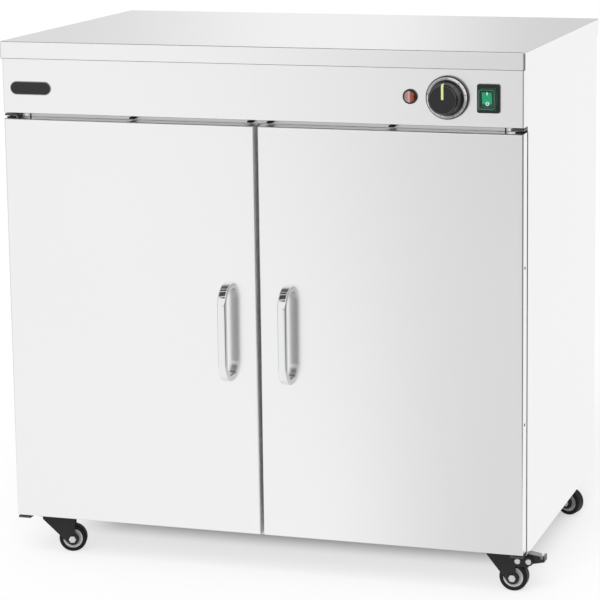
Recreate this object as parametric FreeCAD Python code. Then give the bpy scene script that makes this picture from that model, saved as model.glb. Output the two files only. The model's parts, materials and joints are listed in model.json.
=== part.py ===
import FreeCAD, Part
import math
import os

# A two-door plate warmer on casters: a sheet-metal cabinet with a heated chamber.
# Millimetres, +Z up, front towards -Y, origin on the floor under the middle of the outer box.

# Overall
worktop_width = 750.0
worktop_depth = 490.0
total_height = 750.0
sheet = 1.0
worktop_sheet = 1.2
worktop_skirt = 23.5
worktop_edge_radius = 1.5
worktop_corner_radius = 3.0

# Cabinet body
side_overhang = 2.5
front_setback = 3.0
back_setback = 2.0
door_thickness = 22.0
door_to_body = 3.0
wall_thickness = 26.0
back_flange = 15.0
tray_sheet = 1.5

# Heights of the openings, measured from the top of the cabinet or from its underside
panel_drop = 100.5
panel_to_door = 8.0
panel_to_ceiling = 28.5
rail_above_panel_edge = 14.5
door_above_underside = 6.5
floor_above_underside = 57.0

# Control panel
panel_edge_radius = 1.5
control_drop = 62.0
switch_from_side = 46.8
knob_from_switch = 55.7
lamp_from_knob = 51.5

# Rails and chamber
rail_return = 20.0
ceiling_insulation = 25.0
ceiling_insulation_setback = 30.0
floor_slot_length = 40.0
floor_slot_width = 6.0
floor_slot_column_count = 12
floor_slot_row_count = 3

# Back panel
vent_slot_length = 24.0
vent_slot_width = 6.0
vent_slot_count = 10
vent_slot_pitch = 24.0
vent_slot_drop = 70.0
inlet_from_side = 101.5
inlet_drop = 60.0
inlet_flange_radius = 12.0
inlet_flange = 2.0
inlet_nose_radius = 8.0
inlet_nose = 6.0
inlet_neck_radius = 7.5
inlet_neck = 8.0
inlet_bore_radius = 4.5
hole_play = 0.1

# Doors
door_gap = 4.8
door_edge_radius = 2.0
door_slot_length = 12.0
door_slot_width = 4.0
door_slot_from_edge = 13.0
gasket_inset = 10.0
gasket_width = 10.0
gasket_thickness = 2.7

# Hinges
pivot_from_edge = 7.0
pivot_from_face = 11.0
pin_radius = 3.0
pin_length = 13.0
running_fit = 0.05
bush_radius = 5.5
bush_length = 11.5
bush_flange_radius = 6.5
bush_flange = 1.5
lug_width = 18.0
lug_thickness = 3.0
lug_front_margin = 7.0
lug_above_door = 3.5
lug_above_underside = 1.5

# Bow handles
handle_x = 43.5
handle_length = 138.0
handle_projection = 31.0
handle_width = 12.0
handle_strap = 8.5
handle_outer_radius = 28.0
handle_edge_radius = 1.8

# Thermostat
bezel_radius = 29.0
bezel_thickness = 6.0
bezel_edge_radius = 1.2
bezel_bore_radius = 8.0
knob_gap = 0.5
knob_base_radius = 23.5
knob_front_radius = 19.3
knob_skirt = 3.0
knob_length = 22.5
knob_edge_radius = 1.5
pointer_width = 3.2
pointer_depth = 0.6
pointer_start = 0.5
spindle_radius = 3.0
spindle_in_knob = 14.0
spindle_in_body = 12.0
panel_spindle_hole_radius = 6.0
thermostat_width = 40.0
thermostat_height = 38.0
thermostat_depth = 36.0
capillary_radius = 1.0
capillary_from_body_front = 25.0
capillary_bend_radius = 5.0
capillary_start_drop = 12.0
capillary_hole_radius = 2.5
bulb_radius = 3.0
bulb_length = 70.0
bulb_below_ceiling = 11.0
bulb_clip_length = 10.0
bulb_clip_wall = 1.5

# Pilot lamp
lamp_flange_radius = 10.0
lamp_flange = 3.0
lamp_flange_edge = 0.8
lamp_body_radius = 6.4
lamp_body_length = 20.0
lamp_hole_radius = 6.6
lamp_seat_radius = 7.9
lamp_seat_depth = 2.0
lens_radius = 7.7
lens_length = 5.0
lens_edge_radius = 2.2

# Switch
switch_width = 30.6
switch_height = 38.4
switch_frame = 4.0
switch_frame_corner = 2.5
switch_frame_edge = 1.0
switch_body_width = 21.6
switch_body_height = 30.0
switch_body_depth = 20.0
switch_cutout_play = 0.3
switch_pocket_width = 15.2
switch_pocket_height = 25.0
switch_pocket_depth = 14.0
cover_width = 24.4
cover_height = 29.0
cover_depth = 9.0
cover_wall = 1.0
cover_edge_radius = 2.0
rocker_width = 14.5
rocker_half_height = 11.0
rocker_tip = 7.0
rocker_middle = 5.0
rocker_heel = 3.0
rocker_back = 4.0
rocker_back_half = 5.0
rocker_pivot_depth = 1.5
rocker_rest_deg = 8.0
trunnion_radius = 1.5
trunnion_length = 2.0

# Heating element
heater_radius = 4.2
heater_above_underside = 28.0
heater_leg_count = 4
heater_leg_pitch_share = 0.208
heater_end_clearance = 96.5
heater_sleeve_radius = 6.0
heater_sleeve_length = 22.0
heater_bracket_count = 3
heater_bracket_pitch_share = 0.76
heater_bracket_thickness = 1.5
heater_bracket_margin = 14.0
heater_bracket_above_tube = 13.0
heater_bracket_foot = 14.0
heater_hole_play = 0.2

# Shelves
shelf_space_count = 3
shelf_rod_radius = 3.5
shelf_wire_radius = 1.8
shelf_weld = 0.4
shelf_side_clearance = 11.5
shelf_margin_y = 14.0
shelf_corner_radius = 16.0
shelf_wire_count = 23
shelf_wire_margin = 27.0
shelf_stiffener_share = 0.3
pilaster_width = 15.0
pilaster_depth = 3.0
pilaster_below_ceiling = 21.0
pilaster_from_ends = 60.0
pilaster_slot_width = 5.0
pilaster_slot_height = 9.0
pilaster_slot_pitch = 34.0
pilaster_slot_first = 20.0
clip_length = 14.0
clip_width = 10.0
clip_height = 8.0

# Door catches
catch_inner_x = 30.0
catch_width = 40.0
catch_height = 15.0
catch_depth = 22.6
catch_door_gap = 0.4

# Casters
caster_from_side = 42.5
caster_from_ends = 56.0
wheel_radius = 20.0
wheel_width = 17.0
wheel_to_underside = 19.0
tyre_edge_radius = 3.0
hub_radius = 14.2
hub_width = 15.0
hub_lip = 1.0
hub_dish_depth = 3.2
hub_dish_floor = 8.4
hub_boss_radius = 6.0
hub_boss_width = 18.4
rim_fit = 0.02
caster_trail = 19.0
front_left_turn_deg = 17.0
front_right_turn_deg = 0.0
rear_left_turn_deg = 180.0
rear_right_turn_deg = -17.0
caster_plate = 50.0
caster_plate_thickness = 2.5
caster_plate_radius = 4.0
race_radius = 17.0
race_height = 3.0
race_gap = 0.3
kingpin_radius = 5.0
kingpin_head_radius = 8.0
kingpin_head = 2.0
fork_sheet = 2.5
fork_leg = 2.0
fork_inner = 19.0
plain_fork_back = 23.5
braked_fork_back = 17.5
fork_front = 22.8
fork_back_edge = 2.7
fork_boss_radius = 9.3
axle_radius = 3.0
bolt_flats = 9.2
bolt_head = 4.0
bolt_side_count = 6

# Brake levers, measured from the swivel axis and down from the top of the fork
ear_back = 10.0
ear_top_drop = 3.7
ear_low_drop = 16.7
rivet_radius = 2.5
rivet_head_radius = 4.0
rivet_head = 1.8
spacer_rivet_u = 26.0
spacer_rivet_drop = 8.6
lever_pivot_u = 41.4
lever_pivot_drop = 8.2
lever_ear_radius = 6.5
lever_barrel_radius = 4.2
lever_width = 18.4
lever_cam_radius = 13.3
lever_cam_deg = 245.0
lever_cam_tip_radius = 2.0
lever_pedal_width = 16.0
lever_wall = 2.0
lever_heel = 3.0
lever_heel_rise = 8.6
lever_tread_rise = 9.8
lever_tread_end = 14.6
lever_tread_end_rise = 7.4
lever_step = 16.0
lever_step_rise = 3.6
lever_lip_start = 19.0
lever_reach = 21.6
lever_lip_rise = 7.6
lever_toe_drop = 0.4

# Derived planes
body_half = worktop_width / 2 - side_overhang
chamber_half = body_half - wall_thickness
body_top = total_height - worktop_sheet
body_bottom = wheel_radius * 2 + wheel_to_underside
front_reach = handle_projection - front_setback
back_reach = inlet_nose - back_setback
y_worktop = (front_reach - worktop_depth - back_reach) / 2
y_face = y_worktop + front_setback
y_door_back = y_face + door_thickness
y_body = y_door_back + door_to_body
y_back_outer = y_worktop + worktop_depth - back_setback
y_back = y_back_outer - sheet
y_chamber_back = y_back - wall_thickness
chamber_middle_y = (y_body + y_chamber_back) / 2
chamber_depth = y_chamber_back - y_body

# Derived heights
panel_bottom = total_height - panel_drop
control_height = total_height - control_drop
door_top = panel_bottom - panel_to_door
door_bottom = body_bottom + door_above_underside
handle_height = (door_top + door_bottom) / 2
top_rail_top = panel_bottom + rail_above_panel_edge
chamber_ceiling_under = panel_bottom - panel_to_ceiling
ceiling_top = chamber_ceiling_under + sheet
chamber_floor_top = body_bottom + floor_above_underside
floor_under = chamber_floor_top - sheet
tray_top = body_bottom + tray_sheet
heater_height = body_bottom + heater_above_underside
shelf_spacing = (chamber_ceiling_under - chamber_floor_top) / shelf_space_count
lower_shelf_height = chamber_floor_top + shelf_spacing
upper_shelf_height = lower_shelf_height + shelf_spacing

# Derived places of the controls
switch_x = body_half - switch_from_side
knob_x = switch_x - knob_from_switch
lamp_x = knob_x - lamp_from_knob
inlet_x = body_half - inlet_from_side

# Derived caster heights
caster_x = body_half - caster_from_side
crown_top = body_bottom - caster_plate_thickness - race_height - race_gap
spacer_rivet_w = crown_top - spacer_rivet_drop
lever_pivot_w = crown_top - lever_pivot_drop

X = FreeCAD.Vector(1, 0, 0)
Y = FreeCAD.Vector(0, 1, 0)
Z = FreeCAD.Vector(0, 0, 1)


def vec(x, y, z):
    return FreeCAD.Vector(x, y, z)


def box(x0, x1, y0, y1, z0, z1):
    return Part.makeBox(x1 - x0, y1 - y0, z1 - z0, vec(x0, y0, z0))


# A cylinder that starts at a point and runs along a direction.
def rod(start, direction, radius, length):
    return Part.makeCylinder(radius, length, start, direction)


def fuse(shapes):
    first = shapes[0]
    rest = shapes[1:]
    return first.fuse(rest).removeSplitter() if rest else first


def cut(shape, tools):
    return shape.cut(tools)


def mirror_x(shape):
    return shape.mirror(vec(0, 0, 0), X)


def save(name, shape):
    shape.exportStep("parts/" + name + ".step")


# Every straight edge of a shape that a test on its middle point and direction picks.
def edges_where(shape, test):
    picked = []
    for edge in shape.Edges:
        middle = edge.CenterOfMass
        ends = edge.Vertexes
        if len(ends) == 2:
            direction = ends[1].Point.sub(ends[0].Point)
            if direction.Length > 0 and test(middle, direction.normalize()):
                picked.append(edge)
    return picked


def near(a, b):
    return abs(a - b) < running_fit


# A slot with round ends, cut along one axis: length and width lie across that axis.
def slot(centre, along, through, length, width, depth):
    half = length / 2 - width / 2
    ends = [centre + along * half, centre - along * half]
    side = through.cross(along) * (width / 2)
    corners = [ends[0] + side, ends[1] + side, ends[1] - side, ends[0] - side]
    middle = Part.Face(Part.makePolygon(corners + [corners[0]])).extrude(through * depth)
    return fuse([middle] + [rod(end, through, width / 2, depth) for end in ends])


# A tube along straight runs joined by tangent arcs of one radius.
def bent_tube(points, bend, radius):
    edges = []
    last = points[0]
    for before, corner, after in zip(points, points[1:], points[2:]):
        into = (corner - before).normalize()
        out = (after - corner).normalize()
        turn = into.getAngle(out)
        trim = bend * math.tan(turn / 2)
        start = corner - into * trim
        end = corner + out * trim
        inward = (out - into).normalize()
        centre = corner + inward * (bend / math.cos(turn / 2))
        edges.append(Part.makeLine(last, start))
        edges.append(Part.Arc(start, centre - inward * bend, end).toShape())
        last = end
    edges.append(Part.makeLine(last, points[-1]))
    path = Part.Wire(edges)
    first = (points[1] - points[0]).normalize()
    section = Part.Wire(Part.makeCircle(radius, points[0], first))
    return path.makePipeShell([section], True, False)


# Worktop: a folded tray turned over, with rounded edges.
def make_worktop():
    half = worktop_width / 2
    y_end = y_worktop + worktop_depth
    low = total_height - worktop_skirt
    outer = box(-half, half, y_worktop, y_end, low, total_height)
    corners = edges_where(outer, lambda m, d: abs(d.z) > abs(d.x) + abs(d.y))
    outer = outer.makeFillet(worktop_corner_radius, corners)
    rim = [edge for edge in outer.Edges if near(edge.BoundBox.ZMin, total_height)]
    outer = outer.makeFillet(worktop_edge_radius, rim)
    t = worktop_sheet
    inner = box(-half + t, half - t, y_worktop + t, y_end - t, low, total_height - t)
    save("worktop", cut(outer, [inner]))


# Side panels: each sheet folds into a front post and a back flange.
def make_side_panels():
    x_in = body_half - sheet
    wall = box(x_in, body_half, y_body, y_back, body_bottom, body_top)
    post = box(chamber_half, body_half, y_body, y_body + sheet, body_bottom, body_top)
    flange = box(body_half - back_flange, body_half, y_back - sheet, y_back, body_bottom, body_top)
    right = fuse([wall, post, flange])
    save("right_side_panel", right)
    save("left_side_panel", mirror_x(right))


# Back panel with a row of vents and the hole for the cable bush.
def make_back_panel():
    inlet_height = total_height - inlet_drop
    panel = box(-body_half, body_half, y_back, y_back_outer, body_bottom, body_top)
    tools = []
    for i in range(vent_slot_count):
        x = (i - (vent_slot_count - 1) / 2) * vent_slot_pitch
        centre = vec(x, y_back, total_height - vent_slot_drop)
        tools.append(slot(centre, Z, Y, vent_slot_length, vent_slot_width, sheet))
    hole = inlet_neck_radius + hole_play
    tools.append(rod(vec(inlet_x, y_back, inlet_height), Y, hole, sheet))
    save("back_panel", cut(panel, tools))
    neck = rod(vec(inlet_x, y_back_outer - inlet_neck, inlet_height), Y, inlet_neck_radius, inlet_neck)
    flange = rod(vec(inlet_x, y_back_outer, inlet_height), Y, inlet_flange_radius, inlet_flange)
    nose = rod(vec(inlet_x, y_back_outer, inlet_height), Y, inlet_nose_radius, inlet_nose)
    length = inlet_neck + inlet_nose
    bore = rod(vec(inlet_x, y_back_outer - inlet_neck, inlet_height), Y, inlet_bore_radius, length)
    save("cable_inlet", cut(fuse([neck, flange, nose]), [bore]))


# Base tray and the rails above and below the door opening.
def make_base_and_rails():
    x_in = body_half - sheet
    y_in = y_body + sheet
    save("base_tray", box(-x_in, x_in, y_in, y_back - sheet, body_bottom, tray_top))
    y_return = y_body + rail_return
    h = chamber_half
    face = box(-h, h, y_body, y_in, chamber_ceiling_under, top_rail_top)
    top = box(-h, h, y_body, y_return, top_rail_top - sheet, top_rail_top)
    save("top_rail", fuse([face, top]))
    face = box(-h, h, y_body, y_in, body_bottom, floor_under)
    shelf = box(-h, h, y_body, y_return, floor_under - sheet, floor_under)
    foot = box(-h, h, y_in, y_return, tray_top, tray_top + sheet)
    save("bottom_rail", fuse([face, shelf, foot]))


# Control panel: a shallow pan with openings for the dial spindle, the lamp and the switch.
def make_control_panel():
    outer = box(-body_half, body_half, y_face, y_body, panel_bottom, body_top)
    front = edges_where(outer, lambda m, d: near(m.y, y_face) and not near(m.z, body_top))
    outer = outer.makeFillet(panel_edge_radius, front)
    x_in = body_half - sheet
    inner = box(-x_in, x_in, y_face + sheet, y_body, panel_bottom + sheet, body_top - sheet)
    half_w = switch_body_width / 2 + switch_cutout_play
    half_h = switch_body_height / 2 + switch_cutout_play
    low = control_height - half_h
    high = control_height + half_h
    y_in = y_face + sheet
    tools = [
        inner,
        rod(vec(knob_x, y_face, control_height), Y, panel_spindle_hole_radius, sheet),
        rod(vec(lamp_x, y_face, control_height), Y, lamp_hole_radius, sheet),
        box(switch_x - half_w, switch_x + half_w, y_face, y_in, low, high),
    ]
    save("control_panel", cut(outer, tools))


# Heated chamber: side walls, back wall, ceiling and the slotted floor.
def make_chamber():
    h = chamber_half
    out = h + sheet
    y_in = y_body + sheet
    y_end = y_chamber_back + sheet
    right = box(h, out, y_in, y_chamber_back, tray_top, chamber_ceiling_under)
    save("chamber_side_walls", Part.makeCompound([right, mirror_x(right)]))
    save("chamber_back_wall", box(-out, out, y_chamber_back, y_end, tray_top, chamber_ceiling_under))
    ceiling = box(-out, out, y_in, y_end, chamber_ceiling_under, ceiling_top)
    y_cap = y_body + capillary_from_body_front
    hole = rod(vec(knob_x, y_cap, chamber_ceiling_under), Z, capillary_hole_radius, sheet)
    save("chamber_ceiling", cut(ceiling, [hole]))
    floor = box(-h, h, y_body, y_chamber_back, floor_under, chamber_floor_top)
    tools = []
    pitch_x = chamber_half * 2 / (floor_slot_column_count + 1)
    pitch_y = chamber_depth / (floor_slot_row_count + 1)
    for row in range(floor_slot_row_count):
        y = chamber_middle_y + (row - (floor_slot_row_count - 1) / 2) * pitch_y
        for column in range(floor_slot_column_count):
            x = (column - (floor_slot_column_count - 1) / 2) * pitch_x
            centre = vec(x, y, floor_under)
            tools.append(slot(centre, Y, Z, floor_slot_length, floor_slot_width, sheet))
    save("chamber_floor", cut(floor, tools))


# Insulation slabs in the two side walls, the back wall and over the ceiling.
def make_insulation():
    h = chamber_half + sheet
    y_in = y_body + sheet
    y_end = y_chamber_back + sheet
    right = box(h, body_half - sheet, y_in, y_end, tray_top, chamber_ceiling_under)
    back = box(-h, h, y_end, y_back - sheet, tray_top, chamber_ceiling_under)
    y_top = y_body + ceiling_insulation_setback
    top = box(-h, h, y_top, y_end, ceiling_top, ceiling_top + ceiling_insulation)
    save("wall_insulation", Part.makeCompound([right, mirror_x(right), back, top]))


# Heating element: one long tube bent back and forth under the slotted floor, on three brackets.
def make_heater():
    pitch = chamber_depth * heater_leg_pitch_share
    bend = pitch / 2
    points = []
    edges = []
    first = chamber_middle_y - (heater_leg_count - 1) / 2 * pitch
    ys = [first + i * pitch for i in range(heater_leg_count)]
    x_end = chamber_half - heater_end_clearance
    for i, y in enumerate(ys):
        side = 1 if i % 2 == 0 else -1
        start = vec(side * x_end, y, heater_height)
        end = vec(-side * x_end, y, heater_height)
        edges.append(Part.makeLine(start, end))
        points.append(start)
        if i < heater_leg_count - 1:
            after = vec(-side * x_end, y + pitch, heater_height)
            middle = vec(-side * (x_end + bend), y + bend, heater_height)
            edges.append(Part.Arc(end, middle, after).toShape())
    section = Part.Wire(Part.makeCircle(heater_radius, points[0], X))
    tube = Part.Wire(edges).makePipeShell([section], True, False)
    sleeves = []
    for y in (ys[0], ys[-1]):
        sleeves.append(rod(vec(x_end, y, heater_height), X, heater_sleeve_radius, heater_sleeve_length))
    save("heating_element", fuse([tube] + sleeves))
    brackets = []
    y0 = ys[0] - heater_bracket_margin
    y1 = ys[-1] + heater_bracket_margin
    t = heater_bracket_thickness
    for i in range(heater_bracket_count):
        x = (i - (heater_bracket_count - 1) / 2) * x_end * heater_bracket_pitch_share
        web = box(x, x + t, y0, y1, tray_top, heater_height + heater_bracket_above_tube)
        foot = box(x, x + heater_bracket_foot, y0, y1, tray_top, tray_top + t)
        hole = heater_radius + heater_hole_play
        holes = [rod(vec(x, y, heater_height), X, hole, t) for y in ys]
        brackets.append(cut(fuse([web, foot]), holes))
    save("heater_brackets", Part.makeCompound(brackets))


# Thermostat: switch body behind the panel, capillary and bulb, dial bezel, knob and spindle.
def make_thermostat():
    y_in = y_face + sheet
    half_w = thermostat_width / 2
    half_h = thermostat_height / 2
    low = control_height - half_h
    high = control_height + half_h
    y_end = y_in + thermostat_depth
    body = box(knob_x - half_w, knob_x + half_w, y_in, y_end, low, high)
    bore = rod(vec(knob_x, y_in, control_height), Y, spindle_radius + running_fit, spindle_in_body + sheet)
    save("thermostat_body", cut(body, [bore]))
    y_cap = y_body + capillary_from_body_front
    bulb_height = chamber_ceiling_under - bulb_below_ceiling
    points = [
        vec(knob_x, y_end, control_height - capillary_start_drop),
        vec(knob_x, y_cap, control_height - capillary_start_drop),
        vec(knob_x, y_cap, bulb_height),
        vec(knob_x - bulb_clip_length - capillary_bend_radius, y_cap, bulb_height),
    ]
    capillary = bent_tube(points, capillary_bend_radius, capillary_radius)
    bulb = rod(points[-1], X.negative(), bulb_radius, bulb_length)
    clip_x = points[-1].x - bulb_length / 2
    half = bulb_clip_length / 2
    reach = bulb_radius + bulb_clip_wall
    under = bulb_height - reach
    clip = box(clip_x - half, clip_x + half, y_cap - reach, y_cap + reach, under, chamber_ceiling_under)
    save("thermostat_probe", fuse([capillary, bulb, clip]))
    ring = rod(vec(knob_x, y_face - bezel_thickness, control_height), Y, bezel_radius, bezel_thickness)
    rim = [edge for edge in ring.Edges if near(edge.BoundBox.YMax, y_face - bezel_thickness)]
    ring = ring.makeFillet(bezel_edge_radius, rim)
    hole = rod(vec(knob_x, y_face - bezel_thickness, control_height), Y, bezel_bore_radius, bezel_thickness)
    save("dial_bezel", cut(ring, [hole]))
    y_base = y_face - bezel_thickness - knob_gap
    out = Y.negative()
    axis = vec(knob_x, y_base, control_height)
    skirt = rod(axis, out, knob_base_radius, knob_skirt)
    taper_length = knob_length - knob_skirt
    taper = Part.makeCone(knob_base_radius, knob_front_radius, taper_length, axis + out * knob_skirt, out)
    knob = fuse([skirt, taper])
    y_front = y_base - knob_length
    rim = [edge for edge in knob.Edges if near(edge.BoundBox.YMax, y_front)]
    knob = knob.makeFillet(knob_edge_radius, rim)
    bore = rod(axis, out, spindle_radius + running_fit, spindle_in_knob)
    half = pointer_width / 2
    low = control_height + pointer_start
    high = control_height + knob_base_radius
    groove = box(knob_x - half, knob_x + half, y_front, y_front + pointer_depth, low, high)
    save("thermostat_knob", cut(knob, [bore, groove]))
    start = axis + out * spindle_in_knob
    length = y_in + spindle_in_body - start.y
    save("thermostat_spindle", rod(start, Y, spindle_radius, length))


# Pilot lamp: flanged housing through the panel and a domed lens in its seat.
def make_pilot_lamp():
    y_front = y_face - lamp_flange
    front = vec(lamp_x, y_front, control_height)
    flange = rod(front, Y, lamp_flange_radius, lamp_flange)
    rim = [edge for edge in flange.Edges if near(edge.BoundBox.YMax, y_front)]
    flange = flange.makeFillet(lamp_flange_edge, rim)
    body = rod(vec(lamp_x, y_face, control_height), Y, lamp_body_radius, lamp_body_length)
    seat = rod(front, Y, lamp_seat_radius, lamp_seat_depth)
    save("pilot_lamp_housing", cut(fuse([flange, body]), [seat]))
    y_seat = y_front + lamp_seat_depth
    lens = rod(vec(lamp_x, y_seat, control_height), Y.negative(), lens_radius, lens_length)
    rim = [edge for edge in lens.Edges if near(edge.BoundBox.YMax, y_seat - lens_length)]
    save("pilot_lamp_lens", lens.makeFillet(lens_edge_radius, rim))


# Switch: framed housing with a pocket, a rocker on trunnions and a clear splash cover.
def make_switch():
    half_w = switch_width / 2
    half_h = switch_height / 2
    y_front = y_face - switch_frame
    z = control_height
    x = switch_x
    frame = box(x - half_w, x + half_w, y_front, y_face, z - half_h, z + half_h)
    sides = edges_where(frame, lambda m, d: near(abs(d.y), 1))
    frame = frame.makeFillet(switch_frame_corner, sides)
    front = edges_where(frame, lambda m, d: near(m.y, y_front))
    frame = frame.makeFillet(switch_frame_edge, front)
    body_w = switch_body_width / 2
    body_h = switch_body_height / 2
    body = box(x - body_w, x + body_w, y_face, y_face + switch_body_depth, z - body_h, z + body_h)
    pocket_w = switch_pocket_width / 2
    pocket_h = switch_pocket_height / 2
    y_pocket = y_front + switch_pocket_depth
    pocket = box(x - pocket_w, x + pocket_w, y_front, y_pocket, z - pocket_h, z + pocket_h)
    y_pivot = y_front + rocker_pivot_depth
    rocker_w = rocker_width / 2
    shaft_half = rocker_w + trunnion_length
    bore_half = shaft_half + running_fit
    bore = rod(vec(x - bore_half, y_pivot, z), X, trunnion_radius + running_fit, bore_half * 2)
    save("switch_housing", cut(fuse([frame, body]), [pocket, bore]))
    outline = [
        (rocker_half_height, rocker_tip),
        (0, rocker_middle),
        (-rocker_half_height, rocker_tip),
        (-rocker_half_height, rocker_heel),
        (-rocker_back_half, -rocker_back),
        (rocker_back_half, -rocker_back),
        (rocker_half_height, rocker_heel),
    ]
    points = [vec(x - rocker_w, y_pivot - out, z + up) for up, out in outline]
    cap = Part.Face(Part.makePolygon(points + [points[0]])).extrude(X * rocker_width)
    shaft = rod(vec(x - shaft_half, y_pivot, z), X, trunnion_radius, shaft_half * 2)
    rocker = fuse([cap, shaft])
    rocker.rotate(vec(x, y_pivot, z), X, rocker_rest_deg)
    save("switch_rocker", rocker)
    cover_w = cover_width / 2
    cover_h = cover_height / 2
    cover = box(x - cover_w, x + cover_w, y_front - cover_depth, y_front, z - cover_h, z + cover_h)
    outside = edges_where(cover, lambda m, d: not near(m.y, y_front))
    cover = cover.makeFillet(cover_edge_radius, outside)
    in_w = cover_w - cover_wall
    in_h = cover_h - cover_wall
    hollow = box(x - in_w, x + in_w, y_front - cover_depth + cover_wall, y_front, z - in_h, z + in_h)
    save("switch_cover", cut(cover, [hollow]))


# One wire shelf: a rod frame with round corners, cross wires and two stiffeners welded on.
def make_shelf(name, z):
    y0 = y_body + shelf_margin_y
    y1 = y_chamber_back - shelf_margin_y
    h = chamber_half - shelf_side_clearance
    r = shelf_corner_radius
    middle_y = (y0 + y1) / 2
    corners = [vec(0, y0, z), vec(h, y0, z), vec(h, y1, z), vec(0, y1, z)]
    frame_half = bent_tube(corners, r, shelf_rod_radius)
    frame = [frame_half, mirror_x(frame_half)]
    lift = shelf_rod_radius + shelf_wire_radius - shelf_weld
    pitch = (h - shelf_wire_margin) * 2 / (shelf_wire_count - 1)
    wires = []
    for i in range(shelf_wire_count):
        x = (i - (shelf_wire_count - 1) / 2) * pitch
        wires.append(rod(vec(x, y0 - shelf_weld, z + lift), Y, shelf_wire_radius, y1 - y0 + shelf_weld * 2))
    stiffeners = []
    for side in (-1, 1):
        y = middle_y + side * shelf_stiffener_share * (y1 - y0)
        stiffeners.append(rod(vec(-h, y, z), X, shelf_rod_radius, h * 2))
    save(name, fuse(frame + stiffeners + wires))


# Shelf supports: slotted pilasters on the chamber walls with a clip under each shelf corner.
def make_shelf_supports():
    solids = []
    x1 = chamber_half
    x0 = chamber_half - pilaster_depth
    half = pilaster_width / 2
    pilaster_top = chamber_ceiling_under - pilaster_below_ceiling
    first = chamber_floor_top + pilaster_slot_first
    slot_count = int((pilaster_top - first) / pilaster_slot_pitch)
    for y in (y_body + pilaster_from_ends, y_chamber_back - pilaster_from_ends):
        strip = box(x0, x1, y - half, y + half, chamber_floor_top, pilaster_top)
        slots = []
        slot_half = pilaster_slot_width / 2
        for i in range(slot_count):
            z = first + i * pilaster_slot_pitch
            slots.append(box(x0, x1, y - slot_half, y + slot_half, z, z + pilaster_slot_height))
        solids.append(cut(strip, slots))
        clip_half = clip_width / 2
        for shelf_z in (upper_shelf_height, lower_shelf_height):
            top = shelf_z - shelf_rod_radius
            solids.append(box(x0 - clip_length, x0, y - clip_half, y + clip_half, top - clip_height, top))
    mirrored = [mirror_x(solid) for solid in solids]
    save("shelf_supports", Part.makeCompound(solids + mirrored))


# Magnet catches hang from the ceiling just behind the free edge of each door.
def make_catches():
    y0 = y_door_back + catch_door_gap
    low = chamber_ceiling_under - catch_height
    x1 = catch_inner_x + catch_width
    right = box(catch_inner_x, x1, y0, y0 + catch_depth, low, chamber_ceiling_under)
    save("magnet_catches", Part.makeCompound([right, mirror_x(right)]))


# Hinge lugs: plates on the front posts, each with a pivot pin.
def make_hinge_lugs():
    x = body_half - pivot_from_edge
    y = y_face + pivot_from_face
    y0 = y - lug_front_margin
    x1 = body_half
    x0 = body_half - lug_width
    upper_lug_bottom = door_top + lug_above_door
    lower_lug_bottom = body_bottom + lug_above_underside
    top = upper_lug_bottom + lug_thickness
    upper_plate = box(x0, x1, y0, y_body, upper_lug_bottom, top)
    upper_pin = rod(vec(x, y, upper_lug_bottom - pin_length), Z, pin_radius, pin_length)
    lower_top = lower_lug_bottom + lug_thickness
    lower_plate = box(x0, x1, y0, y_body, lower_lug_bottom, lower_top)
    lower_pin = rod(vec(x, y, lower_top), Z, pin_radius, pin_length)
    right = [fuse([upper_plate, upper_pin]), fuse([lower_plate, lower_pin])]
    left = [mirror_x(lug) for lug in right]
    save("hinge_lugs", Part.makeCompound(right + left))


# The bow of one handle: a strap bent out of the door in two tight curves.
def make_handle():
    y0 = y_face
    y1 = y_face - handle_projection
    x0 = handle_x - handle_width / 2
    half = handle_length / 2

    def bow(half_length, y_front, radius):
        low = handle_height - half_length
        high = handle_height + half_length
        k = radius * (1 - math.cos(math.radians(45)))
        wire = Part.Wire([
            Part.makeLine(vec(x0, y0, low), vec(x0, y_front + radius, low)),
            Part.Arc(
                vec(x0, y_front + radius, low),
                vec(x0, y_front + k, low + k),
                vec(x0, y_front, low + radius),
            ).toShape(),
            Part.makeLine(vec(x0, y_front, low + radius), vec(x0, y_front, high - radius)),
            Part.Arc(
                vec(x0, y_front, high - radius),
                vec(x0, y_front + k, high - k),
                vec(x0, y_front + radius, high),
            ).toShape(),
            Part.makeLine(vec(x0, y_front + radius, high), vec(x0, y0, high)),
            Part.makeLine(vec(x0, y0, high), vec(x0, y0, low)),
        ])
        return Part.Face(wire).extrude(X * handle_width)

    outer = bow(half, y1, handle_outer_radius)
    inner = bow(half - handle_strap, y1 + handle_strap, handle_outer_radius - handle_strap)
    strap = cut(outer, [inner])
    edges = []
    for edge in strap.Edges:
        spread = edge.BoundBox
        flat = near(spread.XMin, spread.XMax)
        on_door = near(spread.YMin, y_face) and near(spread.YMax, y_face)
        if flat and not on_door:
            edges.append(edge)
    return strap.makeFillet(handle_edge_radius, edges)


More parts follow.
